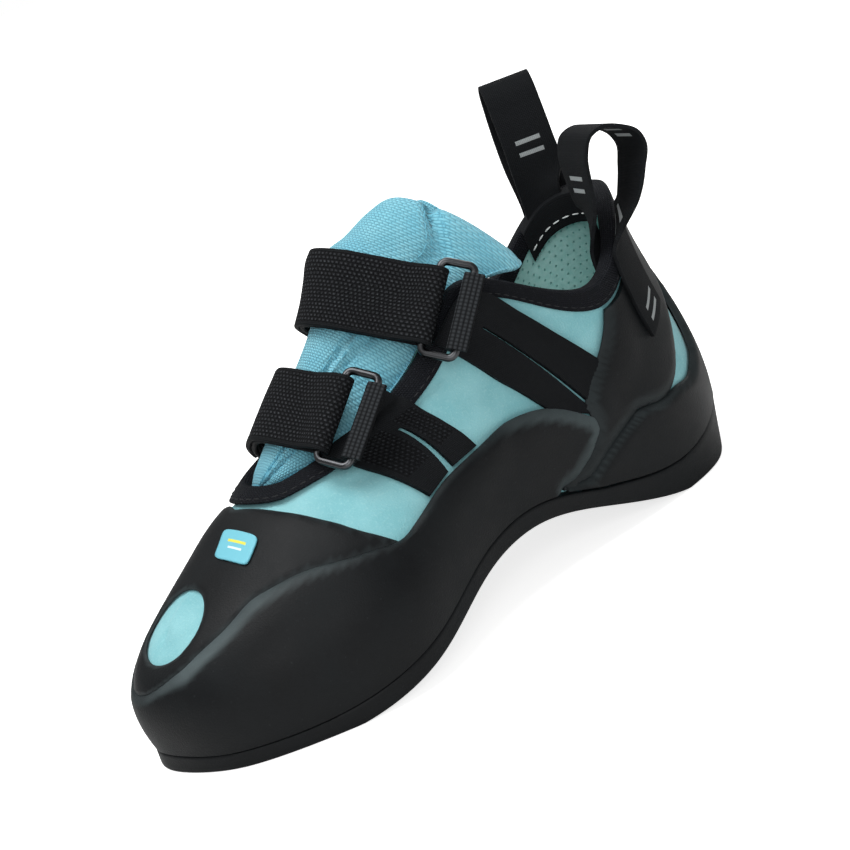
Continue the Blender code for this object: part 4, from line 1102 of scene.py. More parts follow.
# How grey the rand's ramp is along u: ground rubber and a painted highlight.
RAND_BUFF_AND_HIGHLIGHT = ((-.5, .2), (.00, .25), (.08, .7), (.12, 1.0), (.27, 1.0), (.33, .45), (.42, .15),
             (.57, .2), (.62, .7), (.70, .8))
WING_EDGE = ((.000, .620), (.038, .655), (.119, .683), (.219, .705), (.300, .706))
CAP_REAR = ((.344, .423), (.481, .405), (.631, .393), (.794, .385), (1.00, .382))
CAP_WINDOW = (-.170, -.808, .150, .047)
BAND_FRONT = (
    (.000, .633), (.113, .657), (.263, .690), (.450, .728), (.606, .758), (.719, .778),
    (.844, .798), (.931, .812), (1.00, .822),
)
BAND_BACK = (
    (.000, .640), (.031, .673), (.219, .732), (.375, .775), (.400, .835), (.450, .868),
    (.520, .905), (.600, .945), (.700, .975), (.800, 1.01),
)
CUP_TOP = (
    (.640, .000), (.673, .016), (.732, .200), (.775, .355), (.835, .380), (.875, .310),
    (.925, .330), (.945, .450), (.960, .600), (.980, .690), (1.00, .740),
)
HEEL_LIP = ((0.68, 0.000), (0.75, 0.030), (0.83, 0.095), (0.92, 0.120), (1.00, 0.125))
PANEL_CLEARANCE = 0.010
WING_TOP = 0.29
COLLAR_EDGE = 0.905
TUCK = 0.004
# Ends of the webbing legs that the rubber runs over, as places u, v to u, v
LEG_ENDS = ((.483, .395, .556, .395), (.650, .360, .708, .350), (.730, .500, .782, .700))
LEG_BULGE = 0.0008
LEG_REACH = 0.010
LEG_FLAT = 1.6
LEG_POINTS = 20
CORNER_REACH = 0.012
SOLE_V = 0.012
SOLE_LIP_SHARE = 1.1


def read_row(places, knots_and_values):
    """Reads a short table of knots and values by straight runs."""
    knots, values = zip(*knots_and_values)
    return np.interp(places, knots, values)


def rounded_row(places, knots_and_values):
    """The same table with its corners rounded over a short reach."""
    steps = np.linspace(-CORNER_REACH, CORNER_REACH, 5)
    return sum(read_row(places + step, knots_and_values) for step in steps) / len(steps)


def heel_lip(u):
    """Top edge of the sole's lip round the heel, as v."""
    knots, heights = zip(*HEEL_LIP)
    return smooth_curve(np.abs(u), knots, heights)


def over_legs(u, v):
    """Lift of the rubber: one gap, and a soft bulge where it runs over webbing."""
    points = last_point(u, v)
    share = np.linspace(0, 1, LEG_POINTS)
    bulge = np.zeros(np.shape(u))
    for u0, v0, u1, v1 in LEG_ENDS:
        line = last_point(u0 + (u1 - u0) * share, v0 + (v1 - v0) * share)
        gaps = np.linalg.norm(points[..., None, :] - line, axis=-1).min(axis=-1)
        near = np.clip(LEG_FLAT - gaps / LEG_REACH, 0, 1)
        bulge = np.maximum(bulge, near * near * (3 - 2 * near))
    return GAP + LEG_BULGE * bulge


def one_gap(u, v):
    """Lift of an overlay that lies one gap off the upper."""
    return np.full(np.shape(u), GAP)


def side_levels(u, v):
    """Inside the rand: under its top edge, and short of both wings' ends."""
    return (rounded_row(fold(u), RAND_TOP) - v, rounded_row(v, WING_EDGE) - u,
            u + rounded_row(v, WING_EDGE) - PANEL_CLEARANCE)


def cap_levels(u, v):
    """Inside the toe cap: over the rand, ahead of its rear edge, off its window."""
    points = last_point(u, v)
    across = (points[..., 0] / BALL_WIDTH - CAP_WINDOW[0]) / CAP_WINDOW[2]
    ahead = (points[..., 1] / LENGTH - CAP_WINDOW[1]) / CAP_WINDOW[3]
    return (v - rounded_row(u, RAND_TOP) + TUCK, rounded_row(v, CAP_REAR) - u,
            rounded_row(v, CAP_REAR) + u, np.hypot(across, ahead) - 1.0)


def band_levels(u, v):
    """Inside the heel band: between its two edges, over the sole, under the collar."""
    side = np.abs(fold(u))
    edge = rounded_row(v, BAND_FRONT)
    wing = np.maximum(edge, rounded_row(v, WING_EDGE) - TUCK)
    return (side - np.where(v < WING_TOP, wing, edge),
            rounded_row(v, BAND_BACK) - side,
            v - heel_lip(fold(u)) - PANEL_CLEARANCE, COLLAR_EDGE - v)


def cup_levels(u, v):
    """Inside the heel cup: under its top edge and over the sole's lip."""
    side = np.abs(fold(u))
    return (rounded_row(side, CUP_TOP) + 5 * TUCK - v, v - heel_lip(fold(u)) - PANEL_CLEARANCE / 2,
            side - CUP_TOP[0][0])


def off_sole(u, v):
    """True where an edge lies above the sole, so that it is free."""
    return v > SOLE_V + heel_lip(fold(u)) * SOLE_LIP_SHARE


print("places along the rand's top edge:", len(RAND_TOP))

# %% [markdown]
# The four overlays. Each has its own thickness, a thinner free edge, and a ramp
# as wide as the grinding wheel left it. The rand and the band run over the ends
# of the webbing, so they bulge a little there.

# %% Rubber panels
RAND_SPAN = (-.74, .74)
CAP_SPAN = (-.44, .44)
HEEL_SPAN = (.6, 1.4)
RAND_EDGE = 0.0006
# The third number of each row: how grey the ramp is, ground rubber and a painted highlight.
CAP_EDGE, CAP_RAMP, CAP_BUFF_AND_HIGHLIGHT = 0.0004, 0.0011, 0.25
BAND_EDGE, BAND_RAMP, BAND_BUFF_AND_HIGHLIGHT = 0.0005, 0.0042, 0.20
CUP_EDGE, CUP_RAMP, CUP_BUFF_AND_HIGHLIGHT = 0.0007, 0.0026, 0.30
COLLAR_MARGIN = 0.01


def even(value):
    """The same value at every place u, v."""
    return lambda u, v: np.full(np.shape(u), value)


def rand_ramp(u, v):
    """Width of the rand's ground ramp, in metres."""
    return read_row(fold(u), RAND_RAMP) / 1000


def rand_buff_and_highlight(u, v):
    """How grey the rand's ramp is: ground rubber and a painted highlight."""
    return read_row(fold(u), RAND_BUFF_AND_HIGHLIGHT)


def everywhere(u, v):
    """Every edge of the toe cap is free."""
    return True


def band_free(u, v):
    """The band's edges are free, apart from those under the sole and the collar."""
    return off_sole(u, v) and v < COLLAR_EDGE - COLLAR_MARGIN


side_rand = panel("side_rand_rubber", side_levels, RAND_SPAN, over_legs, RAND_THICKNESS, RAND_EDGE,
                  rand_ramp, rand_buff_and_highlight, off_sole)
toe_cap = panel("toe_cap_rubber", cap_levels, CAP_SPAN, one_gap, CAP_THICKNESS, CAP_EDGE,
                even(CAP_RAMP), even(CAP_BUFF_AND_HIGHLIGHT), everywhere)
heel_band = panel("heel_band_rubber", band_levels, HEEL_SPAN, over_legs, BAND_THICKNESS, BAND_EDGE,
                  even(BAND_RAMP), even(BAND_BUFF_AND_HIGHLIGHT), band_free)
heel_cup = panel("heel_cup_rubber", cup_levels, HEEL_SPAN, one_gap, CUP_THICKNESS, CUP_EDGE,
                 even(CUP_RAMP), even(CUP_BUFF_AND_HIGHLIGHT), off_sole)
dress(side_rand, "rubber", "side_rand")
dress(toe_cap, "rubber", "toe_cap")
dress(heel_band, "rubber", "heel_band")
dress(heel_cup, "rubber", "heel_cup")
print("rubber faces:", [len(thing.data.polygons) for thing in (side_rand, toe_cap, heel_band, heel_cup)])

# %% [markdown]
# The sole is a flat sheet of rubber, cut round the foot and pressed to its arch;
# the insole is a thin board with a fleece face. Both are lofts of rings that
# follow the foot line, since their edges must meet the rand all the way round.
# The sole's lower edge is rounded and its side climbs to the heel's lip.

# %% Sole and insole
MIDDLE_SHARE = 0.3
UNDER_SHARE = 0.12
ARCH_STATIONS = 201
CHAMFER_STEPS = 5
SIDE_STEPS = (0.2, 0.5, 0.8, 0.96)
LIP_ROUNDING = 0.0003
INSOLE_THICKNESS = 0.0018
INSOLE_ROUNDING = 0.0006
INSOLE_EDGE_SHARE = 0.7


def foot_line(u, outset=0.0):
    """The foot line seen from above, moved out by a distance: x and y."""
    row = ring_at(u)
    return np.stack([row[..., 1], row[..., 0]], axis=-1) + foot_outward(u) * outset


def middle_line(u, outset=0.0, share=MIDDLE_SHARE):
    """A ring inside the foot line, where faces are joined across."""
    own = foot_line(u, outset)
    return own + (foot_line(-u, outset) - own) * share


def arch_height(y):
    """Height of the foot line over the floor, at a place along the shoe."""
    row = ring_at(np.linspace(0, 1, ARCH_STATIONS))
    return np.interp(y, row[:, 0], row[:, 2])


def closed_loft(name, rings, material):
    """Rings of points from one face to the other, both closed across the foot."""
    count = len(rings[0])
    faces = [(ring * count + k, ring * count + (k + 1) % count, (ring + 1) * count + (k + 1) % count,
              (ring + 1) * count + k) for ring in range(len(rings) - 1) for k in range(count)]
    for base, flip in ((0, True), ((len(rings) - 1) * count, False)):
        for k in range(count // 2):
            face = list(dict.fromkeys([base + k, base + k + 1, base + (count - k - 1) % count,
                                       base + (count - k) % count]))
            faces.append(tuple(reversed(face)) if flip else tuple(face))
    return link_mesh(name, np.concatenate(rings), faces, [material])


def make_sole():
    """The sole as rings: under it, round its edge, up its side and back across."""
    u = fold(np.arange(FINE_COLUMNS) * (2.0 / FINE_COLUMNS))
    edge = GAP + RAND_THICKNESS
    lip = heel_lip(u)

    def ground(outline, height):
        lift = np.maximum(arch_height(outline[:, 1]) - FLOOR_LAND, 0.0)
        return np.column_stack([outline, lift + height])

    rings = [ground(middle_line(u), 0.0), ground(middle_line(u, 0.0, UNDER_SHARE), 0.0)]
    for turn in np.linspace(0, math.pi / 2, CHAMFER_STEPS):
        inset = SOLE_CHAMFER * (1 - math.sin(turn))
        rings.append(ground(foot_line(u, edge - inset), SOLE_CHAMFER * (1 - math.cos(turn))))
    lower = rings[-1]
    upper_ring = last_offset(u, lip, np.full(FINE_COLUMNS, edge)) - np.array([0.0, 0.0, GAP])
    rings += [lower + (upper_ring - lower) * share for share in SIDE_STEPS]
    for distance in (edge - LIP_ROUNDING, GAP):
        rings.append(last_offset(u, lip, np.full(FINE_COLUMNS, distance)) - np.array([0.0, 0.0, GAP]))
    for outline in (foot_line(u, GAP), middle_line(u)):
        rings.append(np.column_stack([outline, arch_height(outline[:, 1]) + SOLE_THICKNESS]))
    return closed_loft("sole_rubber", rings, rubber)


def make_insole():
    """The insole as rings, from its underside to its top."""
    u = fold(np.arange(FINE_COLUMNS) * (2.0 / FINE_COLUMNS))
    inset = -(WALL + 5 * GAP)
    floor = SOLE_THICKNESS + GAP
    rings = []
    for outline, height in ((middle_line(u, inset), floor), (foot_line(u, inset), floor),
                            (foot_line(u, inset), floor + INSOLE_THICKNESS * INSOLE_EDGE_SHARE),
                            (foot_line(u, inset - INSOLE_ROUNDING), floor + INSOLE_THICKNESS),
                            (middle_line(u, inset), floor + INSOLE_THICKNESS)):
        rings.append(np.column_stack([outline, arch_height(outline[:, 1]) + height]))
    return closed_loft("insole_fleece", rings, fleece)


sole = dress(make_sole(), "rubber", "outsole")
insole = dress(make_insole(), "insole_board", "insole")
print("sole and insole made")

# %% [markdown]
# A small printed tab is glued to the toe cap. A square lattice squeezed to a
# superellipse has rounded corners and an even edge, without any cutting.

# %% Toe tab
TAB_CORNERS = ((.338, .963), (.338, .775), (.295, .731), (.282, .931))
TAB_FINE = 22
TAB_SQUARENESS = 7
TAB_GLUE = 0.0002
TINY = 1e-12


def make_toe_tab():
    """A rounded tab that follows the cap, with its print's UV map."""
    rear_inner, rear_outer, front_outer, front_inner = np.array(TAB_CORNERS)
    shares = np.linspace(-1, 1, TAB_FINE)
    down, across = np.meshgrid(shares, shares, indexing="ij")
    reach = np.maximum(np.abs(down), np.abs(across))
    powers = np.abs(down) ** TAB_SQUARENESS + np.abs(across) ** TAB_SQUARENESS
    squeeze = reach / (powers + TINY) ** (1 / TAB_SQUARENESS)
    down, across = (down * squeeze + 1) / 2, (across * squeeze + 1) / 2
    rear = rear_inner + (rear_outer - rear_inner) * across[..., None]
    front = front_inner + (front_outer - front_inner) * across[..., None]
    places = rear + (front - rear) * down[..., None]
    height = GAP + CAP_THICKNESS + TAB_GLUE + TAB_THICKNESS / 2
    lattice = last_offset(places[..., 0], places[..., 1], np.full(down.shape, height))
    uvs = np.stack([across.ravel(), down.ravel()], axis=1)
    thing = link_mesh("toe_tab", lattice.reshape(-1, 3), grid_faces(TAB_FINE, TAB_FINE),
                      [tab_print], uvs=uvs)
    return thicken(thing, TAB_THICKNESS)


toe_tab = dress(make_toe_tab(), "suede", "toe_patch")
print("toe tab faces:", len(toe_tab.data.polygons))

# %% [markdown]
# The tongue is foam between two layers of mesh, in two pads with a raised welt
# between the seams that join them. It is shaped as one thick sheet over the same
# table as the frame's tongue, since its outline has to keep to it. The seams
# sink its face, and low rounded mounds change how full its top is.

# %% The tongue's shape
TONGUE_COLUMNS = ("along", "free_y", "free_z", "free_half", "forward", "rise", "lean")
TONGUE_ROWS = (
    (0.425, .000, .000, .000, .006, .020, .00),
    (0.440, .000, .000, .000, .010, .045, .01),
    (0.465, .000, .000, .000, .015, .080, .03),
    (0.500, .000, .000, .000, .024, .135, .06),
    (0.540, .000, .000, .000, .034, .168, .09),
    (0.580, .000, .000, .000, .044, .190, .11),
    (0.620, .000, .000, .000, .052, .205, .12),
    (0.660, .000, .000, .000, .060, .225, .12),
    (0.700, .000, .000, .000, .070, .250, .11),
    (0.740, -.228, 1.00, .680, .074, .300, .10),
    (0.760, -.196, 0.99, .640, .068, .325, .08),
    (0.780, -.190, 1.03, .400, .036, .225, .05),
)
CROWN_ROUNDNESS = 2.2
BACK_TAPER = 0.35
TONGUE_FINE = (150, 81)
# Columns: along the tongue, and the two seams' places across it
SEAM_ROWS = (
    (0.00, .50, .64),
    (0.20, .50, .66),
    (0.38, .51, .62),
    (0.45, .56, .69),
    (0.60, .72, .82),
    (0.77, .78, .82),
    (0.83, .68, .70),
    (0.90, .55, .56),
    (1.00, .40, .41),
)
SEAM_WIDTH = 0.0011
SEAM_DEPTH = 0.0017
WELT_HEIGHT = 0.0008
RIM_SINK = 0.0015
RIM_REACH = 0.0012
RIM_ROUNDING = 0.003
RIM_THINNEST = 0.02
# Columns: place along and across, reach along and across, rise in metres
LOBE_ROWS = (
    (0.86, -.30, .16, .60, -.0032),
    (0.90, 0.75, .12, .30, 0.0020),
)
# The outer rear corner of the tongue hangs back and down over the collar's edge,
# more and more from one place along and across to another
DROOP = (0.0000, 0.0065, -0.0030)
DROOP_ALONG = (0.60, 0.95)
DROOP_ACROSS = (0.30, 1.00)
TONGUE_SCALE = 0.026


def tongue_rows():
    """The tongue's rows in metres: edge y and z, axis, half width, crown's step, lean."""
    along = column(TONGUE_ROWS, TONGUE_COLUMNS, "along")
    free = column(TONGUE_ROWS, TONGUE_COLUMNS, "free_half") > 0
    edge_y, axis, edge_z = top_line(along)
    clearance = WALL + BINDING_THICKNESS + 4 * GAP
    half = opening_half_width(along) - clearance
    edge_y = np.where(free, column(TONGUE_ROWS, TONGUE_COLUMNS, "free_y", LENGTH), edge_y)
    edge_z = np.where(free, column(TONGUE_ROWS, TONGUE_COLUMNS, "free_z", INSTEP_HEIGHT), edge_z)
    half = np.where(free, column(TONGUE_ROWS, TONGUE_COLUMNS, "free_half", THROAT_WIDTH), half)
    forward = column(TONGUE_ROWS, TONGUE_COLUMNS, "forward", LENGTH)
    rise = column(TONGUE_ROWS, TONGUE_COLUMNS, "rise", INSTEP_HEIGHT)
    lean = column(TONGUE_ROWS, TONGUE_COLUMNS, "lean", BALL_WIDTH)
    return np.stack([edge_y, edge_z, axis, half, forward, rise, lean], axis=1)


TONGUE = tongue_rows()


def ramp_up(values, ends):
    """Climbs from 0 at the first end to 1 at the second, gently at first."""
    return np.clip((values - ends[0]) / (ends[1] - ends[0]), 0, 1) ** 2


def tongue_point(along, across, depth=0.0):
    """A point of the tongue: along 0 to 1, across -1 to 1, depth behind its face."""
    rows = smooth_curve(along, np.linspace(0, 1, len(TONGUE)), TONGUE)
    edge_y, edge_z, axis, half, forward, rise, lean = np.moveaxis(rows, -1, 0)
    crown = 1.0 - np.abs(across) ** CROWN_ROUNDNESS
    x = axis + (half - BACK_TAPER * depth) * across - lean * crown
    y = edge_y - forward * crown
    z = edge_z + rise * crown - depth
    hang = ramp_up(along, DROOP_ALONG) * ramp_up(across, DROOP_ACROSS)
    return np.stack([x, y, z], axis=-1) + hang[..., None] * np.array(DROOP)


def tongue_relief(along, across, seams, rim):
    """How far the tongue's face rises over its plain shape, in metres."""
    relief = np.zeros(along.shape)
    for seam in seams:
        metres = (across - seam[:, None]) * TONGUE_SCALE
        relief = relief - SEAM_DEPTH * np.exp(-(metres / SEAM_WIDTH) ** 2)
    between = (across > seams[0][:, None]) & (across < seams[1][:, None])
    relief = relief + between * WELT_HEIGHT
    relief = relief - RIM_SINK * np.exp(-np.clip(rim, 0, None) / RIM_REACH)
    for place, side, reach, side_reach, rise in LOBE_ROWS:
        relief = relief + rise * np.exp(-((along - place) / reach) ** 2 - ((across - side) / side_reach) ** 2)
    return relief


print("rows along the tongue:", len(TONGUE))

# %% [markdown]
# The tongue's mesh is a tube of rows: its face, and its back in the other
# direction, closed at both ends. The back follows the face at the foam's
# thickness and rounds towards the rim.

# %% Tongue
def make_tongue():
    """The tongue's object, its face, its normals, its places across and its seams."""
    rows, columns = TONGUE_FINE
    along, across = np.meshgrid(np.linspace(0, 1, rows), np.sin(np.linspace(-1, 1, columns) * math.pi / 2),
                                indexing="ij")
    face = tongue_point(along, across)
    normal = np.cross(np.gradient(face, axis=1), np.gradient(face, axis=0))
    normal = normal / np.linalg.norm(normal, axis=-1, keepdims=True)
    knots = [row[0] for row in SEAM_ROWS]
    seams = [smooth_curve(along[:, 0], knots, [row[index] for row in SEAM_ROWS]) for index in (1, 2)]
    rim = np.minimum(1 - np.abs(across), 1 - along) * TONGUE_SCALE
    face = face + normal * tongue_relief(along, across, seams, rim)[..., None]
    inward = 1 - np.clip(rim / RIM_ROUNDING, 0, 1)
    rounding = np.sqrt(np.clip(1 - inward ** 2, RIM_THINNEST, 1))
    behind = tongue_point(along, across, TONGUE_THICKNESS * rounding)[:, ::-1]
    rings = np.concatenate([face, behind], axis=1)
    count = 2 * columns
    verts = rings.reshape(-1, 3)
    faces = [(row * count + k, row * count + (k + 1) % count, (row + 1) * count + (k + 1) % count,
              (row + 1) * count + k) for row in range(rows - 1) for k in range(count)]
    for base, flip in ((0, False), ((rows - 1) * count, True)):
        for k in range(columns - 1):
            cap = (base + k, base + count - 1 - k, base + count - 2 - k, base + k + 1)
            faces.append(tuple(reversed(cap)) if flip else cap)
    long_way = np.repeat(travel(face[:, columns // 2])[:, None], count, axis=1)
    wide = np.concatenate([across, across[:, ::-1]], axis=1) * TONGUE_SCALE
    uvs = np.stack([long_way.ravel(), wide.ravel()], axis=1)
    return link_mesh("tongue_mesh", verts, faces, [air_mesh], uvs=uvs), face, normal, across, seams


tongue, tongue_face, tongue_out, tongue_across, tongue_seams = make_tongue()
dress(tongue, "air_mesh", "tongue")
print("tongue faces:", len(tongue.data.polygons))

# %% [markdown]
# Each seam is topstitched on both sides. The lines are read from the finished
# face, row by row, so the stitches lie on it and not on the plain shape.

# %% The tongue's stitches
# A seam's thread: stitch length, pause between stitches, radius
TONGUE_THREAD = (0.0024, 0.0009, 0.00022)
STITCH_ASIDE = {"inner": -0.055, "outer": 0.055}
BARE_ROWS = 6


def across_face(grid, row, place):
    """A vector of one row of the tongue's face, read at a place across it."""
    return [np.interp(place, tongue_across[row], grid[row, :, axis]) for axis in range(3)]


for number, seam in enumerate(tongue_seams):
    for side, aside in STITCH_ASIDE.items():
        stitched = range(BARE_ROWS, TONGUE_FINE[0] - BARE_ROWS)
        line = [across_face(tongue_face, row, seam[row] + aside) for row in stitched]
        out = [across_face(tongue_out, row, seam[row] + aside) for row in stitched]
        stitches("tongue_stitches_%d_%s" % (number, side), line, out, *TONGUE_THREAD, aqua_thread)
print("seams up the tongue:", len(tongue_seams))

# %% [markdown]
# Folded tape binds the throat and the collar: a channel whose legs hold the
# upper's edge between them, with a row of dark stitches. It could be a curve
# with a bevel, but a curve twists where the edge turns. Here every row of the
# lattice is placed from the last itself: up the outside, over the edge and down
# inside.

# %% Collar binding
BINDING_SEARCH = np.linspace(0.7, 1.0, 61)
BINDING_POINTS = 170
BINDING_PUFF = 0.0002
BINDING_BEVEL = 0.0002
LEG_ROWS = 6
FOLD_ROWS = 9
FOLD_FULLNESS = 0.7
RISE_V = 0.97
COLLAR_SPAN = (.698, 1.302)
# A seam's thread: stitch length, pause between stitches, radius
BINDING_THREAD = (0.0021, 0.0010, 0.00017)
STITCH_LIFT = 0.62
COLLAR_SEAM_SHARE = 0.22
BINDING_OUTER = 2 * GAP + BINDING_THICKNESS / 2
BINDING_INNER = -(WALL + 3 * GAP + BINDING_THICKNESS / 2)
BINDING_MIDDLE = (BINDING_OUTER + BINDING_INNER) / 2
BINDING_HALF = (BINDING_OUTER - BINDING_INNER) / 2


def binding_depth_v(u):
    """The v at which a binding ends, one binding depth below the edge."""
    depths = []
    for place in u:
        line = last_point(np.full(len(BINDING_SEARCH), place), BINDING_SEARCH)
        distance = np.linalg.norm(line - line[-1], axis=1)[::-1]
        depths.append(np.interp(BINDING_DEPTH, distance, BINDING_SEARCH[::-1]))
    return np.array(depths)


def edge_rise(u):
    """Unit vectors up the wall at its top edge."""
    rise = last_point(u, np.ones(len(u))) - last_point(u, np.full(len(u), RISE_V))
    return rise / np.linalg.norm(rise, axis=1, keepdims=True)


def fold_turns():
    """For each row over the edge: how high it goes, and how far out or in."""
    for turn in np.linspace(0, math.pi, FOLD_ROWS)[1:-1]:
        lift = (GAP + BINDING_THICKNESS / 2) * math.sin(turn) ** FOLD_FULLNESS
        yield lift, BINDING_MIDDLE + BINDING_HALF * math.cos(turn)


def puffed(share):
    """Distance of the outer leg from the last, fullest half way up."""
    return BINDING_OUTER + BINDING_PUFF * math.sin(math.pi * share)


def make_collar_binding():
    """The folded tape round the collar, and its stitches."""
    u = np.linspace(*COLLAR_SPAN, BINDING_POINTS)
    ones = np.ones(BINDING_POINTS)
    bottom = binding_depth_v(u)
    rise = edge_rise(u)
    rows = []
    for share in np.linspace(0, 1, LEG_ROWS):
        rows.append(last_offset(u, bottom + (1 - bottom) * share, ones * puffed(share)))
    for lift, aside in fold_turns():
        rows.append(last_offset(u, ones, ones * aside) + rise * lift)
    for share in np.linspace(1, 0, LEG_ROWS):
        rows.append(last_offset(u, bottom + (1 - bottom) * share, ones * BINDING_INNER))
    thing = tape("collar_binding_knit", np.stack(rows, axis=1), BINDING_THICKNESS, [binding_knit],
                 bevel=BINDING_BEVEL)
    seam = bottom + (1 - bottom) * COLLAR_SEAM_SHARE
    stitches("collar_binding_stitches",
             last_offset(u, seam, ones * (BINDING_OUTER + BINDING_THICKNESS * STITCH_LIFT)),
             last_normal(u, seam), *BINDING_THREAD, black_thread)
    return dress(thing, "webbing", "collar_binding")


collar_binding = make_collar_binding()
print("collar binding faces:", len(collar_binding.data.polygons))

# %% [markdown]
# The throat's binding is one tape up one side, round the front and down the
# other. At the front the last has a ridge, where u and v turn too sharply for a
# tape. So the edge is a free curve there, through a point just ahead of the
# opening, and the tape's own three directions are smoothed along it.

# %% Throat binding
THROAT_SPAN = (.430, .690)
THROAT_KNOTS = 24
THROAT_TIP = 0.0040
THROAT_NORMAL_V = 0.96
TURN_SMOOTHING = 6
THROAT_SEAM_SHARE = 0.8


def unit(vectors):
    """The vectors with their lengths made 1."""
    return vectors / np.linalg.norm(vectors, axis=1, keepdims=True)


def throat_edge():
    """Points along the throat's edge, with its normals and the way down the wall."""
    side = np.linspace(*THROAT_SPAN, THROAT_KNOTS)
    ones = np.ones(THROAT_KNOTS)
    outer_edge = last_point(side, ones)
    inner_edge = last_point(-side, ones)
    tip = (outer_edge[0] + inner_edge[0]) / 2 + np.array([0.0, -THROAT_TIP, 0.0])
    tip_normal = sum(last_normal(start, THROAT_NORMAL_V) for start in (THROAT_START, -THROAT_START))
    edge = np.concatenate([inner_edge[::-1], [tip], outer_edge])
    normal = np.concatenate([last_normal(-side, ones * THROAT_NORMAL_V)[::-1], [tip_normal],
                             last_normal(side, ones * THROAT_NORMAL_V)])
    knots = travel(edge)
    places = np.linspace(0, knots[-1], BINDING_POINTS)
    edge = smooth_curve(places, knots, edge)
    normal = smooth_curve(places, knots, normal)
    ahead = np.gradient(edge, axis=0)
    for _ in range(TURN_SMOOTHING):
        ahead[1:-1] = (ahead[:-2] + ahead[1:-1] + ahead[2:]) / 3
        normal[1:-1] = (normal[:-2] + normal[1:-1] + normal[2:]) / 3
    down = unit(np.cross(ahead, normal))
    return edge, unit(np.cross(down, ahead)), down


def make_throat_binding():
    """One folded tape round the throat. It takes the place of the frame's two halves."""
    edge, normal, down = throat_edge()
    rows = [edge + down * (BINDING_DEPTH * share) + normal * puffed(share)
            for share in np.linspace(1, 0, LEG_ROWS)]
    rows += [edge - down * lift + normal * aside for lift, aside in fold_turns()]
    rows += [edge + down * (BINDING_DEPTH * share) + normal * BINDING_INNER
             for share in np.linspace(0, 1, LEG_ROWS)]
    thing = tape("throat_binding_knit", np.stack(rows, axis=1), BINDING_THICKNESS, [binding_knit],
                 bevel=BINDING_BEVEL)
    seam = (edge + down * (BINDING_DEPTH * THROAT_SEAM_SHARE)
            + normal * (BINDING_OUTER + BINDING_THICKNESS * STITCH_LIFT))
    stitches("throat_binding_stitches", seam, normal, *BINDING_THREAD, black_thread)
    return dress(thing, "webbing", "throat_binding_outer", "throat_binding_inner")


throat_binding = make_throat_binding()
print("throat binding faces:", len(throat_binding.data.polygons))

# %% [markdown]
# Inside the heel a black facing covers the pull loop's sewn end. It is a plain
# band of tape, hung from the collar's edge, with a row of white stitches.

# %% Facing
FACING_SPAN = (.965, 1.120)
FACING_DEPTH = 1.55
FACING_POINTS = 70
FACING_ROWS = 9
FACING_SEAM_SHARE = 0.30
# A seam's thread: stitch length, pause between stitches, radius
FACING_THREAD = (0.0024, 0.0012, 0.00026)


def make_facing():
    """The facing inside the heel's inner side, over the pull loop's end."""
    u = np.linspace(*FACING_SPAN, FACING_POINTS)
    ones = np.ones(FACING_POINTS)
    bottom = 1 - (1 - binding_depth_v(u)) * FACING_DEPTH
    lift = -(WALL + 5 * GAP + BINDING_THICKNESS + 2 * LOOP_THICKNESS)
    rows = [last_offset(u, bottom + (1 - bottom) * share, ones * lift)
            for share in np.linspace(0, 1, FACING_ROWS)]
    rows.append(last_offset(u, ones, ones * lift / 2) + edge_rise(u) * (3 * GAP))
    thing = tape("collar_facing", np.stack(rows, axis=1), BINDING_THICKNESS, [plain_tape],
                 bevel=BINDING_BEVEL)
    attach(thing, "root")
    seam = bottom + (1 - bottom) * FACING_SEAM_SHARE
    stitches("facing_stitches", last_offset(u, seam, ones * (lift - BINDING_THICKNESS / 2)),
             -last_normal(u, seam), *FACING_THREAD, white_thread)
    return thing


facing = make_facing()
print("facing faces:", len(facing.data.polygons))

# %% [markdown]
# Each ring is bent from one wire, so it is a closed curve with a round bevel:
# four quarter turns, joined by straight bars.

# %% Rings
RING_COLUMNS = ("x", "y", "z", "climb", "roll")
RING_ROWS = {
    "lower": (.190, -.522, .798, 41, 33),
    "upper": (.322, -.342, .974, 48, 42),
}
RING_CORNER_POINTS = 10


def ring_frame(which):
    """Middle, long axis, axis to the outer bar and outward normal of one ring."""
    place = dict(zip(RING_COLUMNS, RING_ROWS[which]))
    middle = np.array([place["x"] * BALL_WIDTH, place["y"] * LENGTH, place["z"] * INSTEP_HEIGHT])
    climb = math.radians(place["climb"])
    roll = math.radians(place["roll"])
    along = np.array([0.0, math.cos(climb), math.sin(climb)])
    lifted = np.array([0.0, -math.sin(climb), math.cos(climb)])
    side = np.array([1.0, 0.0, 0.0])
    outer = math.cos(roll) * side - math.sin(roll) * lifted
    normal = math.sin(roll) * side + math.cos(roll) * lifted
    return middle, along, outer, normal


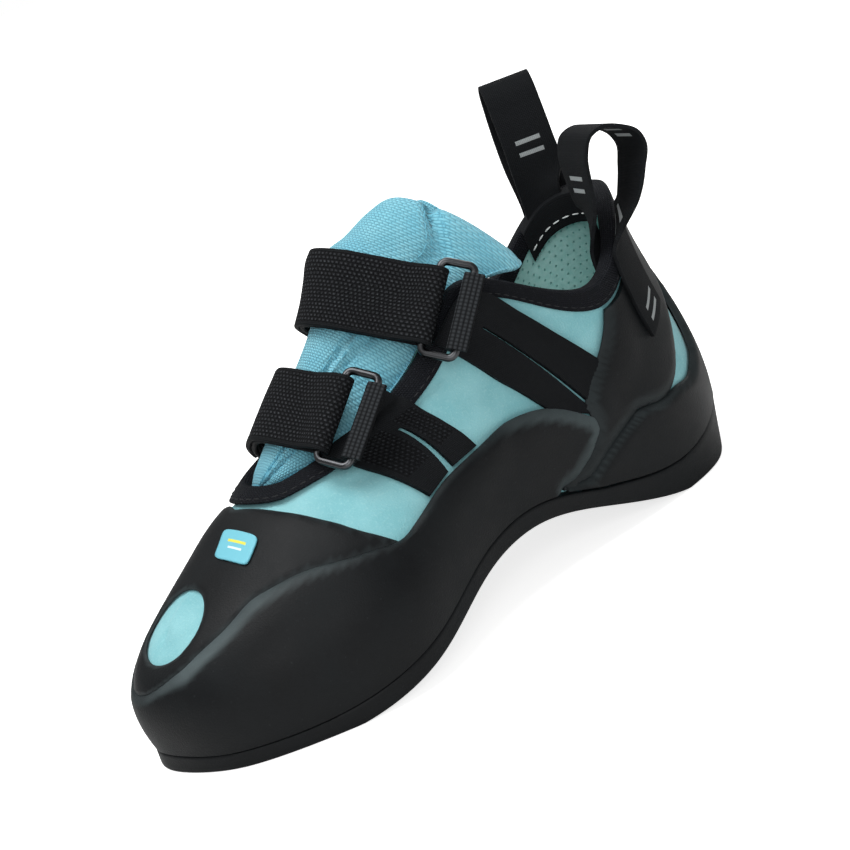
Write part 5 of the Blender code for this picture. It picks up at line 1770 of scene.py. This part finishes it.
def make_ring(which):
    """A wire ring as a closed curve."""
    middle, along, outer, _ = ring_frame(which)
    bend = RING_BEND_SHARE * RING_WIRE
    curve = bpy.data.curves.new("wire_ring_" + which, "CURVE")
    curve.dimensions = "3D"
    curve.bevel_depth = RING_WIRE / 2
    curve.bevel_resolution = 6
    spline = curve.splines.new("POLY")
    points = []
    for quarter in range(4):
        end = 1 if quarter in (0, 3) else -1
        side = 1 if quarter < 2 else -1
        for step in np.linspace(0, 1, RING_CORNER_POINTS):
            angle = math.pi / 2 * (quarter + step)
            place = middle + along * (end * (RING_LENGTH / 2 - bend) + bend * math.cos(angle))
            points.append(place + outer * (side * (RING_BREADTH / 2 - bend) + bend * math.sin(angle)))
    spline.points.add(len(points) - 1)
    for point, place in zip(spline.points, points):
        point.co = (*place, 1.0)
    spline.use_cyclic_u = True
    spline.use_smooth = True
    curve.materials.append(dark_steel)
    thing = bpy.data.objects.new("wire_ring_" + which, curve)
    bpy.context.scene.collection.objects.link(thing)
    return dress(thing, "dark_steel", "ring_" + which)


for which in RING_ROWS:
    make_ring(which)
print("rings made:", len(RING_ROWS))

# %% [markdown]
# Webbing holds each ring to the outer side. It goes round the ring's outer bar as
# a ribbed knit, comes down over the binding and splits into two legs, which end
# under the rubber. The rows below place it on the last, and one lattice holds
# both legs, so that the slit opens in one piece of webbing as a cut would.

# %% Anchors
ANCHOR_COLUMNS = ("front_v", "front_u", "slit_v", "slit_u", "rear_v", "rear_u", "lift")
ANCHOR_ROWS = {
    "lower": (
        (.975, .466, .975, .508, .975, .547, 1.80),
        (.880, .466, .880, .515, .870, .548, 1.60),
        (.780, .467, .780, .521, .750, .549, 0.30),
        (.600, .472, .600, .522, .600, .552, 0.00),
        (.470, .477, .470, .520, .470, .556, 0.00),
        (.392, .481, .405, .519, .390, .558, 0.00),
    ),
    "upper": (
        (.970, .607, .970, .648, .970, .692, 1.60),
        (.880, .611, .890, .655, .915, .706, 1.30),
        (.780, .617, .790, .664, .850, .724, 0.20),
        (.660, .623, .680, .674, .775, .744, 0.00),
        (.540, .630, .570, .684, .700, .762, 0.00),
        (.450, .640, .470, .694, .620, .774, 0.00),
        (.360, .652, .360, .706, .540, .780, 0.00),
        (.290, .664, .290, .717, .470, .788, 0.00),
    ),
}
SLIT_TOP_ROW = 2
SLIT_HALF = 0.006
SEWN_LENGTH = 0.35
ANCHOR_SHARES = (0.0, 0.30, 0.60, 0.64, 0.82, 1.0)
ANCHOR_TURNS = (80, 120, 160, 200, 240, 275)
FRONT_LEG = 3
ANCHOR_FINE_ROWS = 110
LEG_COLUMNS = 9
KNIT_OVERLAP = 0.001
GRID_LEAD = 0.004
GRID_SHARE = 0.62


def anchor_lattice(which):
    """The anchor's rows of six points, from the ring down, and how many wrap the bar."""
    middle, along, outer, normal = ring_frame(which)
    wrap = RING_WIRE / 2 + GAP + WEBBING_THICKNESS / 2
    over_binding = 2 * GAP + BINDING_THICKNESS
    width = RING_LENGTH - 2 * RING_BEND_SHARE * RING_WIRE - 2 * GAP
    bars = [middle + outer * (RING_BREADTH / 2) + along * (width * (share - 0.5)) for share in ANCHOR_SHARES]
    rows = [[bar + normal * wrap + outer * (SEWN_LENGTH * RING_BREADTH) for bar in bars]]
    for angle in ANCHOR_TURNS:
        turn = math.radians(angle)
        rows.append([bar + wrap * (outer * math.cos(turn) + normal * math.sin(turn)) for bar in bars])
    wrapped = len(rows)
    for values in ANCHOR_ROWS[which]:
        row = dict(zip(ANCHOR_COLUMNS, values))
        half = SLIT_HALF * (len(rows) - wrapped) / len(ANCHOR_ROWS[which])
        front_leg = ((row["front_u"], row["front_v"]), (row["slit_u"] - half, row["slit_v"]))
        rear_leg = ((row["slit_u"] + half, row["slit_v"]), (row["rear_u"], row["rear_v"]))
        height = GAP + WEBBING_THICKNESS / 2 + row["lift"] * over_binding
        line = []
        for index in range(len(ANCHOR_SHARES)):
            near, far = front_leg if index < FRONT_LEG else rear_leg
            part = (index % FRONT_LEG) / (FRONT_LEG - 1)
            line.append(last_offset(near[0] + (far[0] - near[0]) * part,
                                    near[1] + (far[1] - near[1]) * part, height))
        rows.append(line)
    return np.array(rows), wrapped


def make_anchor(which):
    """Webbing from a ring down to the rubber, split into two legs."""
    rough, wrapped = anchor_lattice(which)
    knots = travel(rough.mean(axis=1))
    fine = refine(rough, ANCHOR_FINE_ROWS)
    places = np.linspace(0, knots[-1], ANCHOR_FINE_ROWS)
    shares = np.linspace(0, 1, LEG_COLUMNS)
    legs = []
    for first in (0, FRONT_LEG):
        part = np.moveaxis(fine[:, first:first + FRONT_LEG], 1, 0).reshape(FRONT_LEG, -1)
        leg = smooth_curve(shares, (0.0, 0.5, 1.0), part)
        legs.append(np.moveaxis(leg.reshape(LEG_COLUMNS, ANCHOR_FINE_ROWS, 3), 0, 1))
    lattice = np.concatenate(legs, axis=1)
    slit = knots[wrapped + SLIT_TOP_ROW]

    def keep(row, k):
        return places[row] < slit or k != LEG_COLUMNS - 1

    wrap_end = knots[wrapped - 1] + KNIT_OVERLAP
    grid_start = slit - GRID_LEAD
    grid_end = slit + (knots[-1] - slit) * GRID_SHARE
    borders = (0, LEG_COLUMNS - 2, LEG_COLUMNS - 1, LEG_COLUMNS, 2 * LEG_COLUMNS - 2)
    kinds = []
    for row in range(ANCHOR_FINE_ROWS - 1):
        for k in range(2 * LEG_COLUMNS - 1):
            if keep(row, k):
                grid = which == "lower" and k not in borders and grid_start < places[row] < grid_end
                kinds.append(1 if places[row] < wrap_end else 2 if grid else 0)
    thing = tape("anchor_" + which + "_webbing", lattice, WEBBING_THICKNESS,
                 [plain_tape, ribbed_knit, grid_weave], kinds, keep)
    return dress(thing, "webbing", "anchor_" + which)


for which in ANCHOR_ROWS:
    make_anchor(which)
print("anchors made:", len(ANCHOR_ROWS))

# %% [markdown]
# The straps are pulled tight, and a tight strap takes the shortest way over what
# it crosses. Cloth simulation could find that, slowly. Here rays find the frame's
# own tongue, upper and bindings in each section across the strap, and the strap's
# line is the taut line over what they meet. It goes under the ring's inner bar,
# folds over it and lies back on itself.

# %% Straps
STRAP_COLUMNS = ("sewn_end", "free_end")
STRAP_ROWS = {"lower": (206, 176), "upper": (206, 170)}
STRAP_SECTIONS = (0.0, 0.3, 0.6, 0.87, 1.0)
STRAP_DEPTH = 0.45
STRAP_REACH = 0.05
SECTION_REACH = 0.09
SECTION_RAYS = 60
FIRST_RAY = 4
FOLD_END = 118
FOLD_POINTS = 7
UNDER_POINTS = 25
OVER_POINTS = 12
LAYER_CLEARANCE = 4
UNDER_GAPS = 6
FIT_ROUNDS = 3
SMOOTHING_ROUNDS = 2
STRAP_BEVEL = 0.0004
STRAP_FINE = (170, 25)


def frame_tree(names):
    """A search tree of CAD nodes in the row frame."""
    verts = []
    faces = []
    for name in names:
        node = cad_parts[name]
        base = len(verts)
        verts.extend(node.matrix_world @ vert.co for vert in node.data.vertices)
        faces.extend([base + index for index in face.vertices] for face in node.data.polygons)
    return BVHTree.FromPolygons(verts, faces)


def taut_section(tree, centre, first, second, turns, start):
    """A tape drawn tight round a section, as points in the section's plane."""
    hull = [start]
    for turn in turns:
        way = first * math.cos(turn) + second * math.sin(turn)
        hit, _, _, _ = tree.ray_cast(Vector(centre + way * SECTION_REACH), Vector(-way), SECTION_REACH)
        if hit is None:
            continue
        away = np.array(hit) - centre
        place = (float(away @ first), float(away @ second))
        while len(hull) > 1:
            (ax, ay), (bx, by) = hull[-2], hull[-1]
            if (bx - ax) * (place[1] - ay) - (by - ay) * (place[0] - ax) > 0:
                break
            hull.pop()
        hull.append(place)
    return np.array(hull)


def even_points(line, count):
    """Points at even distances along a polyline."""
    line = np.asarray(line)
    knots = travel(line)
    places = np.linspace(0.0, knots[-1], count)
    return np.stack([np.interp(places, knots, line[:, axis]) for axis in range(line.shape[1])], axis=1)


def raised(line, height):
    """The line moved out by a height."""
    tangent = np.gradient(line, axis=0)
    tangent = tangent / np.linalg.norm(tangent, axis=1, keepdims=True)
    return line + np.stack([tangent[:, 1], -tangent[:, 0]], axis=1) * height


def strap_section(which, tree, share):
    """Middle line of one strap in one section across it, and its free layer."""
    middle, along, outer, normal = ring_frame(which)
    bar = middle - outer * (RING_BREADTH / 2) + along * (STRAP_WIDTH * (share - 0.5))
    centre = bar - outer * (STRAP_REACH * BALL_WIDTH) - normal * (STRAP_DEPTH * BALL_WIDTH)
    wrap = RING_WIRE / 2 + GAP + STRAP_THICKNESS / 2
    lift = UNDER_GAPS * GAP + STRAP_THICKNESS / 2
    ends = dict(zip(STRAP_COLUMNS, STRAP_ROWS[which]))
    bar_place = np.array([(bar - centre) @ outer, (bar - centre) @ normal])
    slope = 0.0
    for _ in range(FIT_ROUNDS):
        start = bar_place - (wrap + lift) * np.array([math.sin(slope), math.cos(slope)])
        low_turn = math.atan2(start[1], start[0]) + math.radians(FIRST_RAY)
        turns = np.linspace(low_turn, math.radians(ends["sewn_end"]), SECTION_RAYS)
        hull = taut_section(tree, centre, outer, normal, turns, tuple(start))
        slope = math.atan2(hull[1][1] - hull[0][1], hull[0][0] - hull[1][0])
    under = raised(even_points(hull, UNDER_POINTS), lift)
    over = raised(under, STRAP_THICKNESS + GAP)
    angle = np.arctan2(over[:, 1], over[:, 0]) % (2 * math.pi)
    clear_of_bar = np.linalg.norm(over - bar_place, axis=1) > LAYER_CLEARANCE * wrap
    over = over[(angle < math.radians(ends["free_end"])) & clear_of_bar]
    fold_angles = np.linspace(-math.pi / 2 - slope, math.radians(FOLD_END), FOLD_POINTS)[1:]
    fold_line = bar_place + wrap * np.stack([np.cos(fold_angles), np.sin(fold_angles)], axis=1)
    line = np.concatenate([under[::-1], fold_line, even_points(over, OVER_POINTS)])
    return centre + line[:, :1] * outer + line[:, 1:] * normal


def make_strap(which, tree):
    """A strap from its sewn end, under and over its ring's bar, to its free end."""
    sections = np.array([strap_section(which, tree, share) for share in STRAP_SECTIONS])
    lengthwise = refine(np.moveaxis(sections, 0, 1), STRAP_FINE[0])
    across = smooth_curve(np.linspace(0, 1, STRAP_FINE[1]), STRAP_SECTIONS,
                          np.moveaxis(lengthwise, 1, 0).reshape(len(STRAP_SECTIONS), -1))
    lattice = np.moveaxis(across.reshape(STRAP_FINE[1], STRAP_FINE[0], 3), 0, 1)
    for _ in range(SMOOTHING_ROUNDS):
        lattice[1:-1] = (lattice[:-2] + 2 * lattice[1:-1] + lattice[2:]) / 4
    border = (0, STRAP_FINE[1] - 2)
    kinds = [0 if k in border else 1 for row in range(STRAP_FINE[0] - 1) for k in range(STRAP_FINE[1] - 1)]
    thing = tape("strap_" + which + "_weave", lattice, STRAP_THICKNESS, [plain_tape, strap_weave], kinds,
                 bevel=STRAP_BEVEL)
    return dress(thing, "webbing", "strap_" + which)


under_straps = frame_tree(("upper", "tongue", "throat_binding_outer", "throat_binding_inner",
                           "collar_binding"))
for which in STRAP_ROWS:
    make_strap(which, under_straps)
print("straps made:", len(STRAP_ROWS))

# %% [markdown]
# The pull loops are stiff narrow tape, sewn to both sides of the collar with a
# free bow between. Their rows are the part's own; the outer loop's bow is also
# turned a little about its own length, as a hand leaves it.

# %% Pull loops
LOOP_COLUMNS = ("out", "height")
LOOP_ROWS = {
    "outer": (
        (-.080, 1.00), (-.075, 1.09), (-.060, 1.17), (-.010, 1.225), (.070, 1.240), (.160, 1.225),
        (.250, 1.190), (.275, 1.150), (.240, 1.080), (.170, 0.990),
    ),
    "inner": (
        (-.080, 1.10), (-.070, 1.20), (-.030, 1.30), (.020, 1.375), (.070, 1.400), (.120, 1.380),
        (.160, 1.300), (.170, 1.200), (.130, 1.100),
    ),
}
LOOP_BASES = {"outer": 0.865, "inner": -0.925}
LOOP_WIDTH_WAY = {"outer": (-.75, .66), "inner": (.50, .86)}
LOOP_TWIST = {"outer": -32, "inner": 0}
TWIST_FULLNESS = 0.5
EDGE_LIFT = 3 * BINDING_THICKNESS
LOOP_COLUMNS_ACROSS = 13
SEATED_INSIDE = (0.90, 0.95, 1.00)
SEATED_OUTSIDE = (1.00, 0.90, 0.78, 0.66)
LOOP_FINE_ROWS = 120


def make_loop(which):
    """A pull loop: up the inside of the collar, over its bow, down the outside."""
    base_u = LOOP_BASES[which]
    way = np.array([*LOOP_WIDTH_WAY[which], 0.0])
    way = way / np.linalg.norm(way)
    out = np.array([-way[1], way[0], 0.0]) * (1.0 if base_u < 0 else -1.0)
    across = np.linspace(-0.5, 0.5, LOOP_COLUMNS_ACROSS)
    edge = last_point(base_u, 1.0)
    inside = -(WALL + 5 * GAP + BINDING_THICKNESS + LOOP_THICKNESS / 2)
    outside = BAND_THICKNESS + 2 * GAP + LOOP_THICKNESS / 2
    tangent = last_point(base_u + STEP, 1.0) - last_point(base_u - STEP, 1.0)
    per_u = np.linalg.norm(tangent) / (2 * STEP)
    sign = 1.0 if float(tangent @ way) > 0 else -1.0

    def seated(v, offset):
        return [last_offset(base_u + sign * share * LOOP_WIDTH / per_u, v, offset) for share in across]

    lifted = np.array([0.0, 0.0, EDGE_LIFT])
    rows = [seated(v, inside) for v in SEATED_INSIDE]
    rows.append([point + lifted for point in rows[-1]])
    steps = column(LOOP_ROWS[which], LOOP_COLUMNS, "out", COLLAR_WIDTH)
    heights = column(LOOP_ROWS[which], LOOP_COLUMNS, "height", HEEL_HEIGHT)
    for number, (step, height) in enumerate(zip(steps, heights)):
        middle = edge + out * step
        middle[2] = height
        free = math.sin(math.pi * (number + 1) / (len(steps) + 1)) ** TWIST_FULLNESS
        twist = math.radians(LOOP_TWIST[which]) * free
        wide = way * math.cos(twist) + out * math.sin(twist)
        rows.append([middle + wide * (share * LOOP_WIDTH) for share in across])
    rows.append([point + lifted for point in seated(1.0, outside)])
    rows += [seated(v, outside) for v in SEATED_OUTSIDE]
    thing = tape("pull_loop_" + which + "_tape", refine(rows, LOOP_FINE_ROWS), LOOP_THICKNESS, [loop_tape])
    return dress(thing, "webbing", "pull_loop_" + which)


for which in LOOP_ROWS:
    make_loop(which)
print("pull loops made:", len(LOOP_ROWS))

# %% [markdown]
# A studio sweep would do for the backdrop, but the floor's paper and the world
# can simply look white to the camera and stay dim for the shoe. Three soft lights
# shape it: a large one overhead, a weaker one from the camera's side and a rim
# light from behind the heel.

# %% Floor and lights
FLOOR_SIZE = 6.0
FLOOR_GLOW = 0.75
WORLD_ON_SHOE = 0.30
WORLD_SEEN = 1.00
# Columns: name, place, size in metres, power in watts
LIGHTS = (
    ("overhead", (-0.10, -0.35, 1.10), 0.80, 11.0),
    ("front", (0.90, -0.70, 0.55), 0.50, 4.0),
    ("rim", (-0.50, 0.70, 0.70), 0.50, 3.0),
)


def make_floor_paper():
    """Pale paper. The camera also sees it lit from behind, as a light table is."""
    material = make_plain("pale studio paper", "#F4F4F3", 0.9)
    tree = material.node_tree
    seen = tree.nodes.new("ShaderNodeLightPath").outputs["Is Camera Ray"]
    shader = tree.nodes["Principled BSDF"]
    tree.links.new(calc(tree, "MULTIPLY", seen, FLOOR_GLOW), shader.inputs["Emission Strength"])
    shader.inputs["Emission Color"].default_value = (1.0, 1.0, 1.0, 1.0)
    return material


def make_floor():
    """One square of pale paper at Z = 0."""
    mesh = bpy.data.meshes.new("floor")
    half = FLOOR_SIZE / 2
    mesh.from_pydata([(-half, -half, 0), (half, -half, 0), (half, half, 0), (-half, half, 0)], [],
                     [(0, 1, 2, 3)])
    mesh.materials.append(make_floor_paper())
    floor = bpy.data.objects.new("floor", mesh)
    bpy.context.scene.collection.objects.link(floor)
    return floor


def make_light(name, place, size, power):
    """A soft square light, turned to the shoe."""
    light = bpy.data.lights.new(name, "AREA")
    light.size = size
    light.energy = power
    thing = bpy.data.objects.new(name, light)
    thing.location = place
    thing.rotation_euler = (AIM - Vector(place)).to_track_quat("-Z", "Y").to_euler()
    bpy.context.scene.collection.objects.link(thing)
    return thing


make_floor()
for name, place, size, power in LIGHTS:
    make_light(name, place, size, power)

world = bpy.data.worlds.new("studio")
world.use_nodes = True
bpy.context.scene.world = world
tree = world.node_tree
seen = tree.nodes.new("ShaderNodeLightPath").outputs["Is Camera Ray"]
strength = calc(tree, "MULTIPLY_ADD", seen, WORLD_SEEN - WORLD_ON_SHOE, WORLD_ON_SHOE)
tree.links.new(strength, tree.nodes["Background"].inputs["Strength"])
tree.nodes["Background"].inputs["Color"].default_value = (1.0, 1.0, 1.0, 1.0)
bpy.context.scene.view_settings.view_transform = "Standard"
print("lights:", len(LIGHTS))
